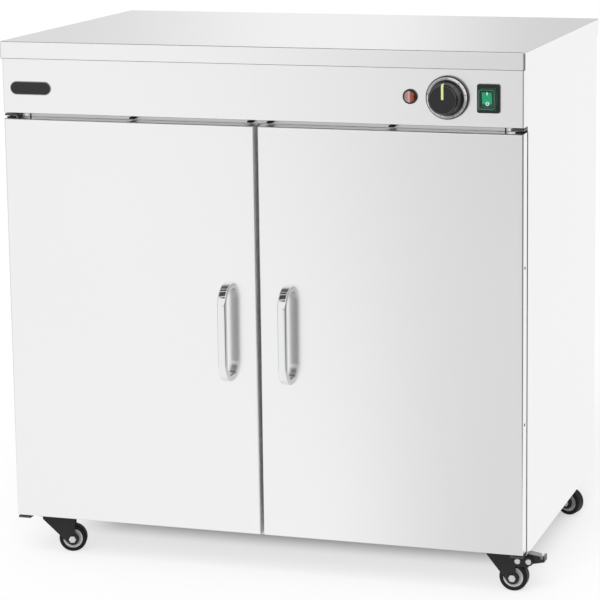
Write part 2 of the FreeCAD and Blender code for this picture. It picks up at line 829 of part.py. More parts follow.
# The right door and its mirror image: pan, liner, gasket, bow handle and pivot bushes.
def make_doors():
    x0 = door_gap / 2
    x1 = body_half
    outer = box(x0, x1, y_face, y_door_back, door_bottom, door_top)
    front = edges_where(outer, lambda m, d: near(m.y, y_face))
    outer = outer.makeFillet(door_edge_radius, front)
    in_x0 = x0 + sheet
    in_x1 = x1 - sheet
    low = door_bottom + sheet
    high = door_top - sheet
    inner = box(in_x0, in_x1, y_face + sheet, y_door_back, low, high)
    x = body_half - pivot_from_edge
    y = y_face + pivot_from_face
    hole = bush_radius + hole_play
    tools = [inner]
    for z in (door_bottom, high):
        tools.append(rod(vec(x, y, z), Z, hole, sheet))
    for slot_x in (x0 + door_slot_from_edge, (x0 + x1) / 2):
        centre = vec(slot_x, y, high)
        tools.append(slot(centre, X, Z, door_slot_length, door_slot_width, sheet))
    skin = cut(outer, tools)
    liner = box(in_x0, in_x1, y_door_back - sheet, y_door_back, low, high)
    ring_x0 = x0 + gasket_inset
    ring_x1 = x1 - gasket_inset
    ring_low = door_bottom + gasket_inset
    ring_high = door_top - gasket_inset
    y_ring = y_door_back + gasket_thickness
    w = gasket_width
    ring = box(ring_x0, ring_x1, y_door_back, y_ring, ring_low, ring_high)
    window = box(ring_x0 + w, ring_x1 - w, y_door_back, y_ring, ring_low + w, ring_high - w)
    gasket = cut(ring, [window])
    bushes = []
    bore = pin_radius + running_fit
    for edge_z, inward in ((door_top, Z.negative()), (door_bottom, Z)):
        start = vec(x, y, edge_z)
        flange_start = start - inward * bush_flange
        barrel = rod(start, inward, bush_radius, bush_length)
        flange = rod(flange_start, inward, bush_flange_radius, bush_flange)
        length = bush_length + bush_flange
        bushes.append(cut(fuse([barrel, flange]), [rod(flange_start, inward, bore, length)]))
    pieces = {
        "door_skin": skin,
        "door_liner": liner,
        "door_gasket": gasket,
        "handle": make_handle(),
        "door_bushes": Part.makeCompound(bushes),
    }
    for name, shape in pieces.items():
        save("right_" + name, shape)
        save("left_" + name, mirror_x(shape))


# A caster is drawn at the origin, trailing towards +X, then turned about its swivel and moved to its place.
def place(shape, x, y, turn_deg):
    moved = shape.copy()
    moved.rotate(vec(0, 0, 0), Z, turn_deg)
    moved.translate(vec(x, y, 0))
    return moved


def caster_plate_solid():
    half = caster_plate / 2
    top = body_bottom
    low = top - caster_plate_thickness
    plate = box(-half, half, -half, half, low, top)
    corners = edges_where(plate, lambda m, d: near(abs(d.z), 1))
    plate = plate.makeFillet(caster_plate_radius, corners)
    race_low = low - race_height
    race = rod(vec(0, 0, race_low), Z, race_radius, race_height)
    head_top = crown_top - fork_sheet - race_gap
    pin = rod(vec(0, 0, head_top), Z, kingpin_radius, race_low - head_top)
    head = rod(vec(0, 0, head_top - kingpin_head), Z, kingpin_head_radius, kingpin_head)
    return fuse([plate, race, pin, head])


# The ear that carries the brake lever's rivet on one fork leg.
def ear_box(y0):
    low = crown_top - ear_low_drop
    high = crown_top - ear_top_drop
    return box(ear_back, lever_pivot_u, y0, y0 + fork_leg, low, high)


# One fork leg in side view: a slanted web down to the axle boss, with an ear for the brake lever.
def fork_leg_solid(y0, braked):
    fork_back = braked_fork_back if braked else plain_fork_back
    fork_back_low = crown_top - fork_back_edge
    to_axle = vec(caster_trail + fork_back, 0, wheel_radius - fork_back_low)
    reach = math.sqrt(to_axle.Length ** 2 - fork_boss_radius ** 2)
    angle = math.atan2(to_axle.z, to_axle.x) - math.asin(fork_boss_radius / to_axle.Length)
    tangent_u = -fork_back + reach * math.cos(angle)
    tangent_w = fork_back_low + reach * math.sin(angle)
    outline = [
        (-fork_back, crown_top),
        (fork_front, crown_top),
        (fork_front, wheel_radius),
        (caster_trail, wheel_radius),
        (tangent_u, tangent_w),
        (-fork_back, fork_back_low),
    ]
    points = [vec(u, y0, w) for u, w in outline]
    web = Part.Face(Part.makePolygon(points + [points[0]])).extrude(Y * fork_leg)
    shapes = [web, rod(vec(caster_trail, y0, wheel_radius), Y, fork_boss_radius, fork_leg)]
    if braked:
        shapes.append(ear_box(y0))
        shapes.append(rod(vec(lever_pivot_u, y0, lever_pivot_w), Y, lever_ear_radius, fork_leg))
    return fuse(shapes)


def fork_solid(braked):
    fork_back = braked_fork_back if braked else plain_fork_back
    half = fork_inner / 2 + fork_leg
    crown = box(-fork_back, fork_front, -half, half, crown_top - fork_sheet, crown_top)
    solid = fuse([crown, fork_leg_solid(-half, braked), fork_leg_solid(fork_inner / 2, braked)])
    through = half * 2
    tools = [
        rod(vec(0, 0, crown_top - fork_sheet), Z, kingpin_radius + running_fit, fork_sheet),
        rod(vec(caster_trail, -half, wheel_radius), Y, axle_radius + running_fit, through),
    ]
    if braked:
        for u, w in ((spacer_rivet_u, spacer_rivet_w), (lever_pivot_u, lever_pivot_w)):
            tools.append(rod(vec(u, -half, w), Y, rivet_radius + running_fit, through))
    return cut(solid, tools)


# Axle bolt with hex heads and, on a braked fork, the spacer rivet and the lever's rivet.
def bolts_solid(braked):
    half = fork_inner / 2 + fork_leg
    corner = bolt_flats / 2 / math.cos(math.pi / bolt_side_count)
    shapes = []
    for y0 in (-half - bolt_head, half):
        points = []
        for i in range(bolt_side_count):
            a = i * math.tau / bolt_side_count
            points.append(vec(caster_trail + corner * math.cos(a), y0, wheel_radius + corner * math.sin(a)))
        shapes.append(Part.Face(Part.makePolygon(points + [points[0]])).extrude(Y * bolt_head))
    shaft = rod(vec(caster_trail, -half, wheel_radius), Y, axle_radius, half * 2)
    solids = [fuse([shaft] + shapes)]
    if braked:
        for u, w in ((spacer_rivet_u, spacer_rivet_w), (lever_pivot_u, lever_pivot_w)):
            pin = rod(vec(u, -half, w), Y, rivet_radius, half * 2)
            near_head = rod(vec(u, -half - rivet_head, w), Y, rivet_head_radius, rivet_head)
            far_head = rod(vec(u, half, w), Y, rivet_head_radius, rivet_head)
            solids.append(fuse([pin, near_head, far_head]))
    return Part.makeCompound(solids)


# Wheel centre: a rim disc dished on both faces, with a boss on the axle.
def hub_solid():
    half = hub_width / 2
    disc = rod(vec(caster_trail, -half, wheel_radius), Y, hub_radius, hub_width)
    dishes = []
    for side in (-1, 1):
        mouth = vec(caster_trail, side * half, wheel_radius)
        dishes.append(Part.makeCone(hub_radius - hub_lip, hub_dish_floor, hub_dish_depth, mouth, Y * -side))
    boss_start = vec(caster_trail, -hub_boss_width / 2, wheel_radius)
    boss = rod(boss_start, Y, hub_boss_radius, hub_boss_width)
    bore = rod(boss_start, Y, axle_radius + running_fit, hub_boss_width)
    return cut(fuse([cut(disc, dishes), boss]), [bore])


def tyre_solid():
    start = vec(caster_trail, -wheel_width / 2, wheel_radius)
    roll = rod(start, Y, wheel_radius, wheel_width)
    circles = [edge for edge in roll.Edges if len(edge.Vertexes) == 1]
    roll = roll.makeFillet(tyre_edge_radius, circles)
    return cut(roll, [rod(start, Y, hub_radius + rim_fit, wheel_width)])


# Brake lever: a barrel on its rivet, a cam towards the tread and a channel-shaped pedal with a raised lip.
def lever_solid():
    y0 = -lever_width / 2
    pivot = vec(lever_pivot_u, y0, lever_pivot_w)
    barrel = rod(pivot, Y, lever_barrel_radius, lever_width)
    angle = math.radians(lever_cam_deg)
    along = vec(math.cos(angle), 0, math.sin(angle))
    across = vec(-along.z, 0, along.x)
    tip = pivot + along * (lever_cam_radius - lever_cam_tip_radius)
    wide = across * lever_barrel_radius
    narrow = across * lever_cam_tip_radius
    points = [pivot + wide, tip + narrow, tip - narrow, pivot - wide]
    cam = Part.Face(Part.makePolygon(points + [points[0]])).extrude(Y * lever_width)
    nose = rod(tip, Y, lever_cam_tip_radius, lever_width)
    pedal_half = lever_pedal_width / 2
    tread = [
        (-lever_heel, lever_heel_rise),
        (-lever_heel + lever_wall, lever_tread_rise),
        (lever_tread_end, lever_tread_end_rise),
        (lever_step, lever_step_rise),
        (lever_lip_start, lever_step_rise),
        (lever_lip_start, lever_lip_rise),
        (lever_reach, lever_lip_rise),
        (lever_reach, -lever_toe_drop),
        (lever_barrel_radius, -lever_barrel_radius),
        (-lever_heel, 0),
    ]
    outline = [vec(lever_pivot_u + u, -pedal_half, lever_pivot_w + w) for u, w in tread]
    pedal = Part.Face(Part.makePolygon(outline + [outline[0]])).extrude(Y * lever_pedal_width)
    under = [
        (lever_barrel_radius, -lever_barrel_radius - lever_wall),
        (lever_barrel_radius, lever_tread_end_rise - lever_wall),
        (lever_tread_end - lever_wall, lever_tread_end_rise - lever_wall),
        (lever_step - lever_wall, lever_step_rise - lever_wall),
        (lever_lip_start, lever_step_rise - lever_wall),
        (lever_lip_start, -lever_barrel_radius - lever_wall),
    ]
    hollow_half = pedal_half - lever_wall
    inside = [vec(lever_pivot_u + u, -hollow_half, lever_pivot_w + w) for u, w in under]
    hollow = Part.Face(Part.makePolygon(inside + [inside[0]])).extrude(Y * hollow_half * 2)
    lever = fuse([barrel, cam, nose, cut(pedal, [hollow])])
    return cut(lever, [rod(pivot, Y, rivet_radius + running_fit, lever_width)])


def make_casters():
    front = y_worktop + caster_from_ends
    rear = y_worktop + worktop_depth - caster_from_ends
    casters = [
        ("front_left", -caster_x, front, front_left_turn_deg, False),
        ("front_right", caster_x, front, front_right_turn_deg, True),
        ("rear_left", -caster_x, rear, rear_left_turn_deg, True),
        ("rear_right", caster_x, rear, rear_right_turn_deg, False),
    ]
    plates = []
    for name, x, y, heading, braked in casters:
        plates.append(place(caster_plate_solid(), x, y, 0))
        save(name + "_fork", place(fork_solid(braked), x, y, heading))
        save(name + "_bolts", place(bolts_solid(braked), x, y, heading))
        save(name + "_hub", place(hub_solid(), x, y, heading))
        save(name + "_tyre", place(tyre_solid(), x, y, heading))
        if braked:
            save(name + "_brake_lever", place(lever_solid(), x, y, heading))
    save("caster_plates", Part.makeCompound(plates))


os.makedirs("parts", exist_ok=True)
make_worktop()
make_side_panels()
make_back_panel()
make_base_and_rails()
make_control_panel()
make_chamber()
make_insulation()
make_heater()
make_thermostat()
make_pilot_lamp()
make_switch()
make_shelf("upper_shelf", upper_shelf_height)
make_shelf("lower_shelf", lower_shelf_height)
make_shelf_supports()
make_catches()
make_hinge_lugs()
make_doors()
make_casters()
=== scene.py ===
"""Looks of a two-door plate warmer on casters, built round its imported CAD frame."""

import json
import logging
import math
from dataclasses import dataclass, field
from enum import Enum
from typing import Any, Iterable, Optional, Sequence, Union

import bmesh
import bpy
from mathutils import Matrix, Vector


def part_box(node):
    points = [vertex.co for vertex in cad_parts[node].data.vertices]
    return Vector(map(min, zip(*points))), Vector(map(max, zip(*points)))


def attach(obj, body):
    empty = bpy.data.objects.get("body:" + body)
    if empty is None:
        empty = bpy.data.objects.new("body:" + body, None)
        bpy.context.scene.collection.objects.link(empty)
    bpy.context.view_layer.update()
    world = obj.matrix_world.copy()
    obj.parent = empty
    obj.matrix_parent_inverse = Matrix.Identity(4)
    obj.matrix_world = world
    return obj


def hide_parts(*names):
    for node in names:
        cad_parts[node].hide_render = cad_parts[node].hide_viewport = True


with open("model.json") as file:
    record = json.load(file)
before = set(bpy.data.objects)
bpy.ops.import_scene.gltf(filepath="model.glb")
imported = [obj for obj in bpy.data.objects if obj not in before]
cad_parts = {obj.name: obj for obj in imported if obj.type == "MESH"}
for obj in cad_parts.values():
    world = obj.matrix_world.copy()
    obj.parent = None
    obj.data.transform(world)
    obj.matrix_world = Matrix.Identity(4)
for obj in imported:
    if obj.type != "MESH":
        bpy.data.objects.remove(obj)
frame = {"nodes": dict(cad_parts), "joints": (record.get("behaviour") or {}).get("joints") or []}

LOG = logging.getLogger("plate_warmer")
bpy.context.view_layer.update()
WHITE = (1.0, 1.0, 1.0, 1.0)
MM = 0.001
WELD = 1e-7
SHARP_DEG = 35.0
# Offset of the rocker's bright middle, round which shade is painted.
BRIGHT_MIDDLE_RIGHT = -0.6 * MM
BRIGHT_MIDDLE_UP = 1.4 * MM
BRAKED = ("front_right", "rear_left")
Colour = tuple[float, float, float]
Point = tuple[float, float, float]
Span = tuple[float, float]
Profile = tuple[tuple[float, float], ...]
Number = Union[float, "Wire"]


class Grain(Enum):
    """The way that the polishing lines of a sheet run."""

    ALONG_X = (3.0, 700.0, 700.0)
    ALONG_Z = (700.0, 700.0, 3.0)


class Facing(Enum):
    """The way that a flat detail faces, as a turn from +Z."""

    UP = (0.0, 0.0, 0.0)
    BACK = (-math.pi / 2, 0.0, 0.0)
    LEFT = (0.0, -math.pi / 2, 0.0)
    RIGHT = (0.0, math.pi / 2, 0.0)


class Wire:
    """A node's output that can be used in Python expressions."""

    def __init__(self, graph: "NodeGraph", socket: bpy.types.NodeSocket) -> None:
        """Keeps the graph and the socket.

        Args:
            graph: the graph that new maths nodes go into.
            socket: the output that carries the value.
        """
        self.graph = graph
        self.socket = socket

    def maths(self, operation: str, first: Number, second: Number) -> "Wire":
        """Adds one maths node.

        Args:
            operation: the node's operation.
            first: its first value.
            second: its second value.

        Returns:
            The node's result.
        """
        node = self.graph.node("ShaderNodeMath", {"operation": operation}, {0: first, 1: second})
        return self.graph.out(node)

    def __add__(self, other: Number) -> "Wire":
        """This value plus another."""
        return self.maths("ADD", self, other)

    def __radd__(self, other: Number) -> "Wire":
        """Another value plus this."""
        return self.maths("ADD", other, self)

    def __sub__(self, other: Number) -> "Wire":
        """This value less another."""
        return self.maths("SUBTRACT", self, other)

    def __rsub__(self, other: Number) -> "Wire":
        """Another value less this."""
        return self.maths("SUBTRACT", other, self)

    def __mul__(self, other: Number) -> "Wire":
        """This value times another."""
        return self.maths("MULTIPLY", self, other)

    def __rmul__(self, other: Number) -> "Wire":
        """Another value times this."""
        return self.maths("MULTIPLY", other, self)

    def __truediv__(self, other: Number) -> "Wire":
        """This value divided by another."""
        return self.maths("DIVIDE", self, other)

    def __rtruediv__(self, other: Number) -> "Wire":
        """Another value divided by this."""
        return self.maths("DIVIDE", other, self)

    def size(self) -> "Wire":
        """This value without its sign."""
        return self.maths("ABSOLUTE", self, 0.0)

    def above(self, low: float, high: float) -> "Wire":
        """A smooth step of this value.

        Args:
            low: where the step starts.
            high: where it ends.

        Returns:
            0 below low, 1 above high, and a smooth rise between.
        """
        node = self.graph.node(
            "ShaderNodeMapRange",
            {"interpolation_type": "SMOOTHSTEP"},
            {"Value": self, "From Min": low, "From Max": high},
        )
        return self.graph.out(node)


class NodeGraph:
    """Adds nodes and links to one node tree."""

    def __init__(self, tree: bpy.types.NodeTree) -> None:
        """Keeps the tree.

        Args:
            tree: the tree of a material, world or modifier.
        """
        self.tree = tree

    def node(
        self,
        kind: str,
        settings: Optional[dict[str, Any]] = None,
        values: Optional[dict[Union[str, int], Any]] = None,
    ) -> bpy.types.Node:
        """Adds one node.

        Args:
            kind: the node's type.
            settings: its own properties, with "stops" for a ramp's stops.
            values: a number, colour or Wire for each input socket, by name or place.

        Returns:
            The new node.
        """
        made = self.tree.nodes.new(kind)
        for name, value in (settings or {}).items():
            if name == "stops":
                self.set_stops(made, value)
            else:
                setattr(made, name, value)
        for key, value in (values or {}).items():
            socket = made.inputs[key]
            if isinstance(value, Wire):
                self.tree.links.new(value.socket, socket)
            else:
                socket.default_value = value
        return made

    @staticmethod
    def set_stops(ramp: bpy.types.Node, stops: Sequence[tuple[float, Colour]]) -> None:
        """Gives a ramp its stops.

        Args:
            ramp: the colour ramp node.
            stops: the place and colour of each stop.
        """
        elements = ramp.color_ramp.elements
        while len(elements) < len(stops):
            elements.new(1.0)
        for element, (place, colour) in zip(elements, stops):
            element.position = place
            element.color = (*colour, 1.0)

    def out(self, node: bpy.types.Node, output: Union[str, int] = 0) -> Wire:
        """One output of a node as a Wire."""
        return Wire(self, node.outputs[output])

    def feed(self, wire: Wire, node: bpy.types.Node, socket: Union[str, int]) -> None:
        """Links a value to a node that is there already."""
        self.tree.links.new(wire.socket, node.inputs[socket])

    def split(self, place: Wire) -> tuple[Wire, Wire, Wire]:
        """The x, y and z of a vector."""
        node = self.node("ShaderNodeSeparateXYZ", None, {0: place})
        return self.out(node, 0), self.out(node, 1), self.out(node, 2)

    def mix(self, share: Number, first: Any, second: Any) -> Wire:
        """Mixes two colours.

        Args:
            share: how much of the second colour shows.
            first: a colour or Wire.
            second: a colour or Wire.

        Returns:
            The mixed colour.
        """
        settings = {"data_type": "RGBA"}
        return self.out(self.node("ShaderNodeMix", settings, {0: share, 6: first, 7: second}), 2)

    def noise(self, place: Wire, scale: float, detail: float = 2.0, rough: float = 0.5) -> Wire:
        """A noise value.

        Args:
            place: the coordinates.
            scale: cells per metre.
            detail: octaves.
            rough: how strong the small octaves are.

        Returns:
            A value about 0.5.
        """
        values = {"Vector": place, "Scale": scale, "Detail": detail, "Roughness": rough}
        return self.out(self.node("ShaderNodeTexNoise", None, values))

    def stretched(self, place: Wire, scale: Sequence[float]) -> Wire:
        """Coordinates scaled by a different number along each axis."""
        values = {"Vector": place, "Scale": tuple(scale)}
        return self.out(self.node("ShaderNodeMapping", None, values))

    def bump(self, height: Wire, strength: float, distance: float) -> Wire:
        """A bumped normal.

        Args:
            height: the height pattern.
            strength: how much of it shows.
            distance: its depth in metres.

        Returns:
            The normal.
        """
        values = {"Height": height, "Strength": strength, "Distance": distance}
        return self.out(self.node("ShaderNodeBump", None, values))


def middle(node: str, right: float = 0.0, up: float = 0.0) -> Point:
    """The middle of a CAD node's box.

    Args:
        node: the node's name.
        right: a step along +X from the middle.
        up: a step along +Z from the middle.

    Returns:
        The place in the shared frame.
    """
    low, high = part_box(node)
    return (low.x + high.x) / 2 + right, (low.y + high.y) / 2, (low.z + high.z) / 2 + up


@dataclass(frozen=True)
class Finish:
    """A surface finish with one main shader."""

    name: str
    colour: Colour
    roughness: float
    gloss: float = field(default=0.5, kw_only=True)
    metallic: float = field(default=0.0, kw_only=True)

    def material(self) -> bpy.types.Material:
        """Makes the material, or finds it if it was made before.

        Returns:
            The material.
        """
        name = self.name + "_finish"
        found = bpy.data.materials.get(name)
        if found is not None:
            return found
        made = bpy.data.materials.new(name)
        made.use_nodes = True
        made.node_tree.nodes.clear()
        graph = NodeGraph(made.node_tree)
        values = {
            "Base Color": (*self.colour, 1.0),
            "Roughness": self.roughness,
            "Metallic": self.metallic,
            "Specular IOR Level": self.gloss,
        }
        shader = graph.node("ShaderNodeBsdfPrincipled", None, values)
        place = graph.out(graph.node("ShaderNodeTexCoord"), "Object")
        self.dress(graph, shader, place)
        graph.node("ShaderNodeOutputMaterial", None, {"Surface": graph.out(shader)})
        made.diffuse_color = (*self.colour, 1.0)
        return made

    def dress(self, graph: NodeGraph, shader: bpy.types.Node, place: Wire) -> None:
        """Adds the finish's own detail.

        Args:
            graph: the material's graph.
            shader: its main shader.
            place: object coordinates.
        """
        raise NotImplementedError(self.name)

    def tint(self, graph: NodeGraph, shader: bpy.types.Node, pattern: Wire, spread: float) -> None:
        """Lets the base colour wander between a darker and a lighter tone.

        Args:
            graph: the material's graph.
            shader: its main shader.
            pattern: a value about 0.5.
            spread: the share by which the colour goes down and up.
        """
        dark = (*(c * (1 - spread) for c in self.colour), 1.0)
        light = (*(min(1.0, c * (1 + spread)) for c in self.colour), 1.0)
        graph.feed(graph.mix(pattern, dark, light), shader, "Base Color")

    def vary(self, graph: NodeGraph, shader: bpy.types.Node, pattern: Wire, spread: float) -> None:
        """Lets the roughness wander about its value.

        Args:
            graph: the material's graph.
            shader: its main shader.
            pattern: a value about 0.5.
            spread: the whole range of the change.
        """
        graph.feed((pattern - 0.5) * spread + self.roughness, shader, "Roughness")


@dataclass(frozen=True)
class BrushedSteel(Finish):
    """Stainless sheet with fine polishing lines and faint wiping marks."""

    grain: Grain = Grain.ALONG_X
    line_depth: float = 0.02 * MM
    line_strength: float = 0.03
    line_detail: float = 3.0
    line_sharpness: float = 0.6
    wipe_scale: float = 3.5
    wipe_in_colour: float = 0.7
    wipe_in_polish: float = 0.4
    colour_spread: float = 0.02
    rough_spread: float = 0.05
    fold_half: float = 0.0
    fold_edge: float = 0.1 * MM
    fold_rough: float = 0.5
    metallic: float = field(default=1.0, kw_only=True)

    def dress(self, graph: NodeGraph, shader: bpy.types.Node, place: Wire) -> None:
        """Adds the lines to roughness and normal, and the wiping marks to colour.

        Folded edges close to the middle plane, within fold_half, stay unpolished.

        Args:
            graph: the material's graph.
            shader: its main shader.
            place: object coordinates.
        """
        stretched = graph.stretched(place, self.grain.value)
        lines = graph.noise(stretched, 1.0, self.line_detail, self.line_sharpness)
        wiped = graph.noise(place, self.wipe_scale)
        colouring = wiped * self.wipe_in_colour + lines * (1 - self.wipe_in_colour)
        self.tint(graph, shader, colouring, self.colour_spread)
        across = graph.split(place)[0].size()
        folded = 1 - across.above(self.fold_half - self.fold_edge, self.fold_half + self.fold_edge)
        polish = lines * (1 - self.wipe_in_polish) + wiped * self.wipe_in_polish
        rough = (polish - 0.5) * self.rough_spread + self.roughness + folded * self.fold_rough
        graph.feed(rough, shader, "Roughness")
        graph.feed(graph.bump(lines, self.line_strength, self.line_depth), shader, "Normal")


@dataclass(frozen=True)
class Plating(Finish):
    """Bright plated metal with faint smudges."""

    smudge: float = 0.05
    smudge_scale: float = 60.0
    smudge_detail: float = 3.0
    colour_spread: float = 0.02
    metallic: float = field(default=1.0, kw_only=True)

    def dress(self, graph: NodeGraph, shader: bpy.types.Node, place: Wire) -> None:
        """Adds the smudges to roughness and a trace of them to colour.

        Args:
            graph: the material's graph.
            shader: its main shader.
            place: object coordinates.
        """
        smudges = graph.noise(place, self.smudge_scale, self.smudge_detail)
        self.vary(graph, shader, smudges, self.smudge)
        self.tint(graph, shader, smudges, self.colour_spread)


@dataclass(frozen=True)
class Zinc(Finish):
    """Zinc-plated steel with a mottled surface."""

    flake_scale: float = 260.0
    cloud_scale: float = 120.0
    flake_share: float = 0.5
    colour_spread: float = 0.08
    rough_spread: float = 0.14
    metallic: float = field(default=1.0, kw_only=True)

    def dress(self, graph: NodeGraph, shader: bpy.types.Node, place: Wire) -> None:
        """Adds the mottling to colour and roughness.

        Args:
            graph: the material's graph.
            shader: its main shader.
            place: object coordinates.
        """
        values = {"Vector": place, "Scale": self.flake_scale}
        flakes = graph.out(graph.node("ShaderNodeTexVoronoi", None, values))
        clouds = graph.noise(place, self.cloud_scale)
        mottled = flakes * self.flake_share + clouds * (1 - self.flake_share)
        self.tint(graph, shader, mottled, self.colour_spread)
        self.vary(graph, shader, mottled, self.rough_spread)


@dataclass(frozen=True)
class Moulded(Finish):
    """Moulded plastic with a fine spark-eroded texture."""

    texture_depth: float = 0.03 * MM
    texture_scale: float = 2600.0
    texture_strength: float = 0.35
    mark_scale: float = 90.0
    colour_spread: float = 0.1
    rough_spread: float = 0.12

    def dress(self, graph: NodeGraph, shader: bpy.types.Node, place: Wire) -> None:
        """Adds the texture to the normal and handling marks to roughness and colour.

        Args:
            graph: the material's graph.
            shader: its main shader.
            place: object coordinates.
        """
        texture = graph.noise(place, self.texture_scale, 1.0)
        handled = graph.noise(place, self.mark_scale)
        self.tint(graph, shader, handled, self.colour_spread)
        self.vary(graph, shader, handled, self.rough_spread)
        graph.feed(graph.bump(texture, self.texture_strength, self.texture_depth), shader, "Normal")


@dataclass(frozen=True)
class PowderCoat(Finish):
    """Baked paint with orange-peel ripple and a thin clear gloss."""

    ripple_scale: float = 900.0
    ripple_strength: float = 0.3
    ripple_depth: float = 0.04 * MM
    dust_scale: float = 55.0
    dust_detail: float = 4.0
    dust_sharpness: float = 0.6
    colour_spread: float = 0.18
    rough_spread: float = 0.16
    coat: float = 0.15
    coat_rough: float = 0.3

    def dress(self, graph: NodeGraph, shader: bpy.types.Node, place: Wire) -> None:
        """Adds the ripple to the normal and dust to colour and roughness.

        Args:
            graph: the material's graph.
            shader: its main shader.
            place: object coordinates.
        """
        ripple = graph.noise(place, self.ripple_scale, 1.0)
        dust = graph.noise(place, self.dust_scale, self.dust_detail, self.dust_sharpness)
        self.tint(graph, shader, dust, self.colour_spread)
        self.vary(graph, shader, dust, self.rough_spread)
        shader.inputs["Coat Weight"].default_value = self.coat
        shader.inputs["Coat Roughness"].default_value = self.coat_rough
        graph.feed(graph.bump(ripple, self.ripple_strength, self.ripple_depth), shader, "Normal")


@dataclass(frozen=True)
class Rubber(Finish):
    """Matt rubber with pale dust in its pores."""

    pore_scale: float = 1500.0
    pore_strength: float = 0.4
    pore_depth: float = 0.06 * MM
    dust_scale: float = 70.0
    dust_detail: float = 4.0
    dust_sharpness: float = 0.65
    colour_spread: float = 0.3
    rough_spread: float = 0.2

    def dress(self, graph: NodeGraph, shader: bpy.types.Node, place: Wire) -> None:
        """Adds pores to the normal and dust to colour and roughness.

        Args:
            graph: the material's graph.
            shader: its main shader.
            place: object coordinates.
        """
        pores = graph.noise(place, self.pore_scale)
        dust = graph.noise(place, self.dust_scale, self.dust_detail, self.dust_sharpness)
        self.tint(graph, shader, dust, self.colour_spread)
        self.vary(graph, shader, dust, self.rough_spread)
        graph.feed(graph.bump(pores, self.pore_strength, self.pore_depth), shader, "Normal")


@dataclass(frozen=True)
class ClearPlastic(Finish):
    """Clear, faintly green moulded plastic with flow marks."""

    cover: float = 0.07
    rim: float = 0.7
    flow_scale: float = 200.0
    colour_spread: float = 0.1
    rough_spread: float = 0.04

    def dress(self, graph: NodeGraph, shader: bpy.types.Node, place: Wire) -> None:
        """Lets the inside show through and varies the gloss along the flow marks.

        Args:
            graph: the material's graph.
            shader: its main shader.
            place: object coordinates.
        """
        facing = graph.out(graph.node("ShaderNodeLayerWeight", None, {"Blend": 0.5}), "Facing")
        graph.feed(facing * facing * facing * self.rim + self.cover, shader, "Alpha")
        flow = graph.noise(place, self.flow_scale)
        self.tint(graph, shader, flow, self.colour_spread)
        self.vary(graph, shader, flow, self.rough_spread)


@dataclass(frozen=True)
class EdgeShadedPlastic(Finish):
    """Plastic in its own bright colour in the middle, darkened round the middle as painted shade."""

    bright_middle: Colour
    centre: Point
    half_width: float = 6.4 * MM
    half_height: float = 7.8 * MM
    edge: float = 0.4 * MM
    mark_scale: float = 90.0
    mark_share: float = 0.08
    rough_spread: float = 0.1

    def dress(self, graph: NodeGraph, shader: bpy.types.Node, place: Wire) -> None:
        """Keeps the bright colour in the middle of the piece and paints shade round it, by place on the
        piece.

        Args:
            graph: the material's graph.
            shader: its main shader.
            place: object coordinates.
        """
        x, _, z = graph.split(place)
        inside = []
        halves = (self.half_width, self.half_height)
        for offset, half in zip((x - self.centre[0], z - self.centre[2]), halves):
            inside.append(1 - offset.size().above(half - self.edge, half + self.edge))
        handled = graph.noise(place, self.mark_scale)
        # Painted shade: outside the middle span the piece takes the dark colour.
        share = inside[0] * inside[1] * (handled * self.mark_share + (1 - self.mark_share))
        colour = graph.mix(share, (*self.colour, 1.0), (*self.bright_middle, 1.0))
        graph.feed(colour, shader, "Base Color")
        self.vary(graph, shader, handled, self.rough_spread)


@dataclass(frozen=True)
class Lens(Finish):
    """Coloured lamp lens with fine prisms, and painted light in its colour: a painted reflection over one
    half, a painted glint near the middle and painted shade towards both edges.
    """

    pale: Colour
    centre: Point
    glint: Colour = (0.62, 0.38, 0.36)
    glint_at: float = 0.5
    pale_stops: Profile = ((0.0, 0.45), (0.3, 1.0), (0.44, 1.05))
    deep_stops: Profile = ((0.58, 1.0), (0.8, 0.8), (1.0, 0.3))
    radius: float = 7.7 * MM
    prisms: float = 900.0
    prism_share: float = 0.03
    coat_rough: float = 0.05
    cloud_scale: float = 300.0
    rough_spread: float = 0.05

    def dress(self, graph: NodeGraph, shader: bpy.types.Node, place: Wire) -> None:
        """Lays the painted reflection, the painted glint, the painted shade at the edges and the prisms in
        the colour, with a clear coat over them.

        Args:
            graph: the material's graph.
            shader: its main shader.
            place: object coordinates.
        """
        x = graph.split(place)[0]
        across = (x - self.centre[0]) / self.radius
        bands = x.maths("SINE", x * self.prisms * math.tau, 0.0)
        # Painted light along the lens: a pale painted reflection over one half, a painted glint near the
        # middle, and painted shade darkening both edges.
        stops = [(at, tuple(c * share for c in self.pale)) for at, share in self.pale_stops]
        stops.append((self.glint_at, self.glint))
        stops += [(at, tuple(c * share for c in self.colour)) for at, share in self.deep_stops]
        spot = across * 0.5 + 0.5 + bands * self.prism_share
        ramp = graph.node("ShaderNodeValToRGB", {"stops": stops}, {0: spot})
        graph.feed(graph.out(ramp), shader, "Base Color")
        shader.inputs["Coat Weight"].default_value = 1.0
        shader.inputs["Coat Roughness"].default_value = self.coat_rough
        self.vary(graph, shader, graph.noise(place, self.cloud_scale), self.rough_spread)


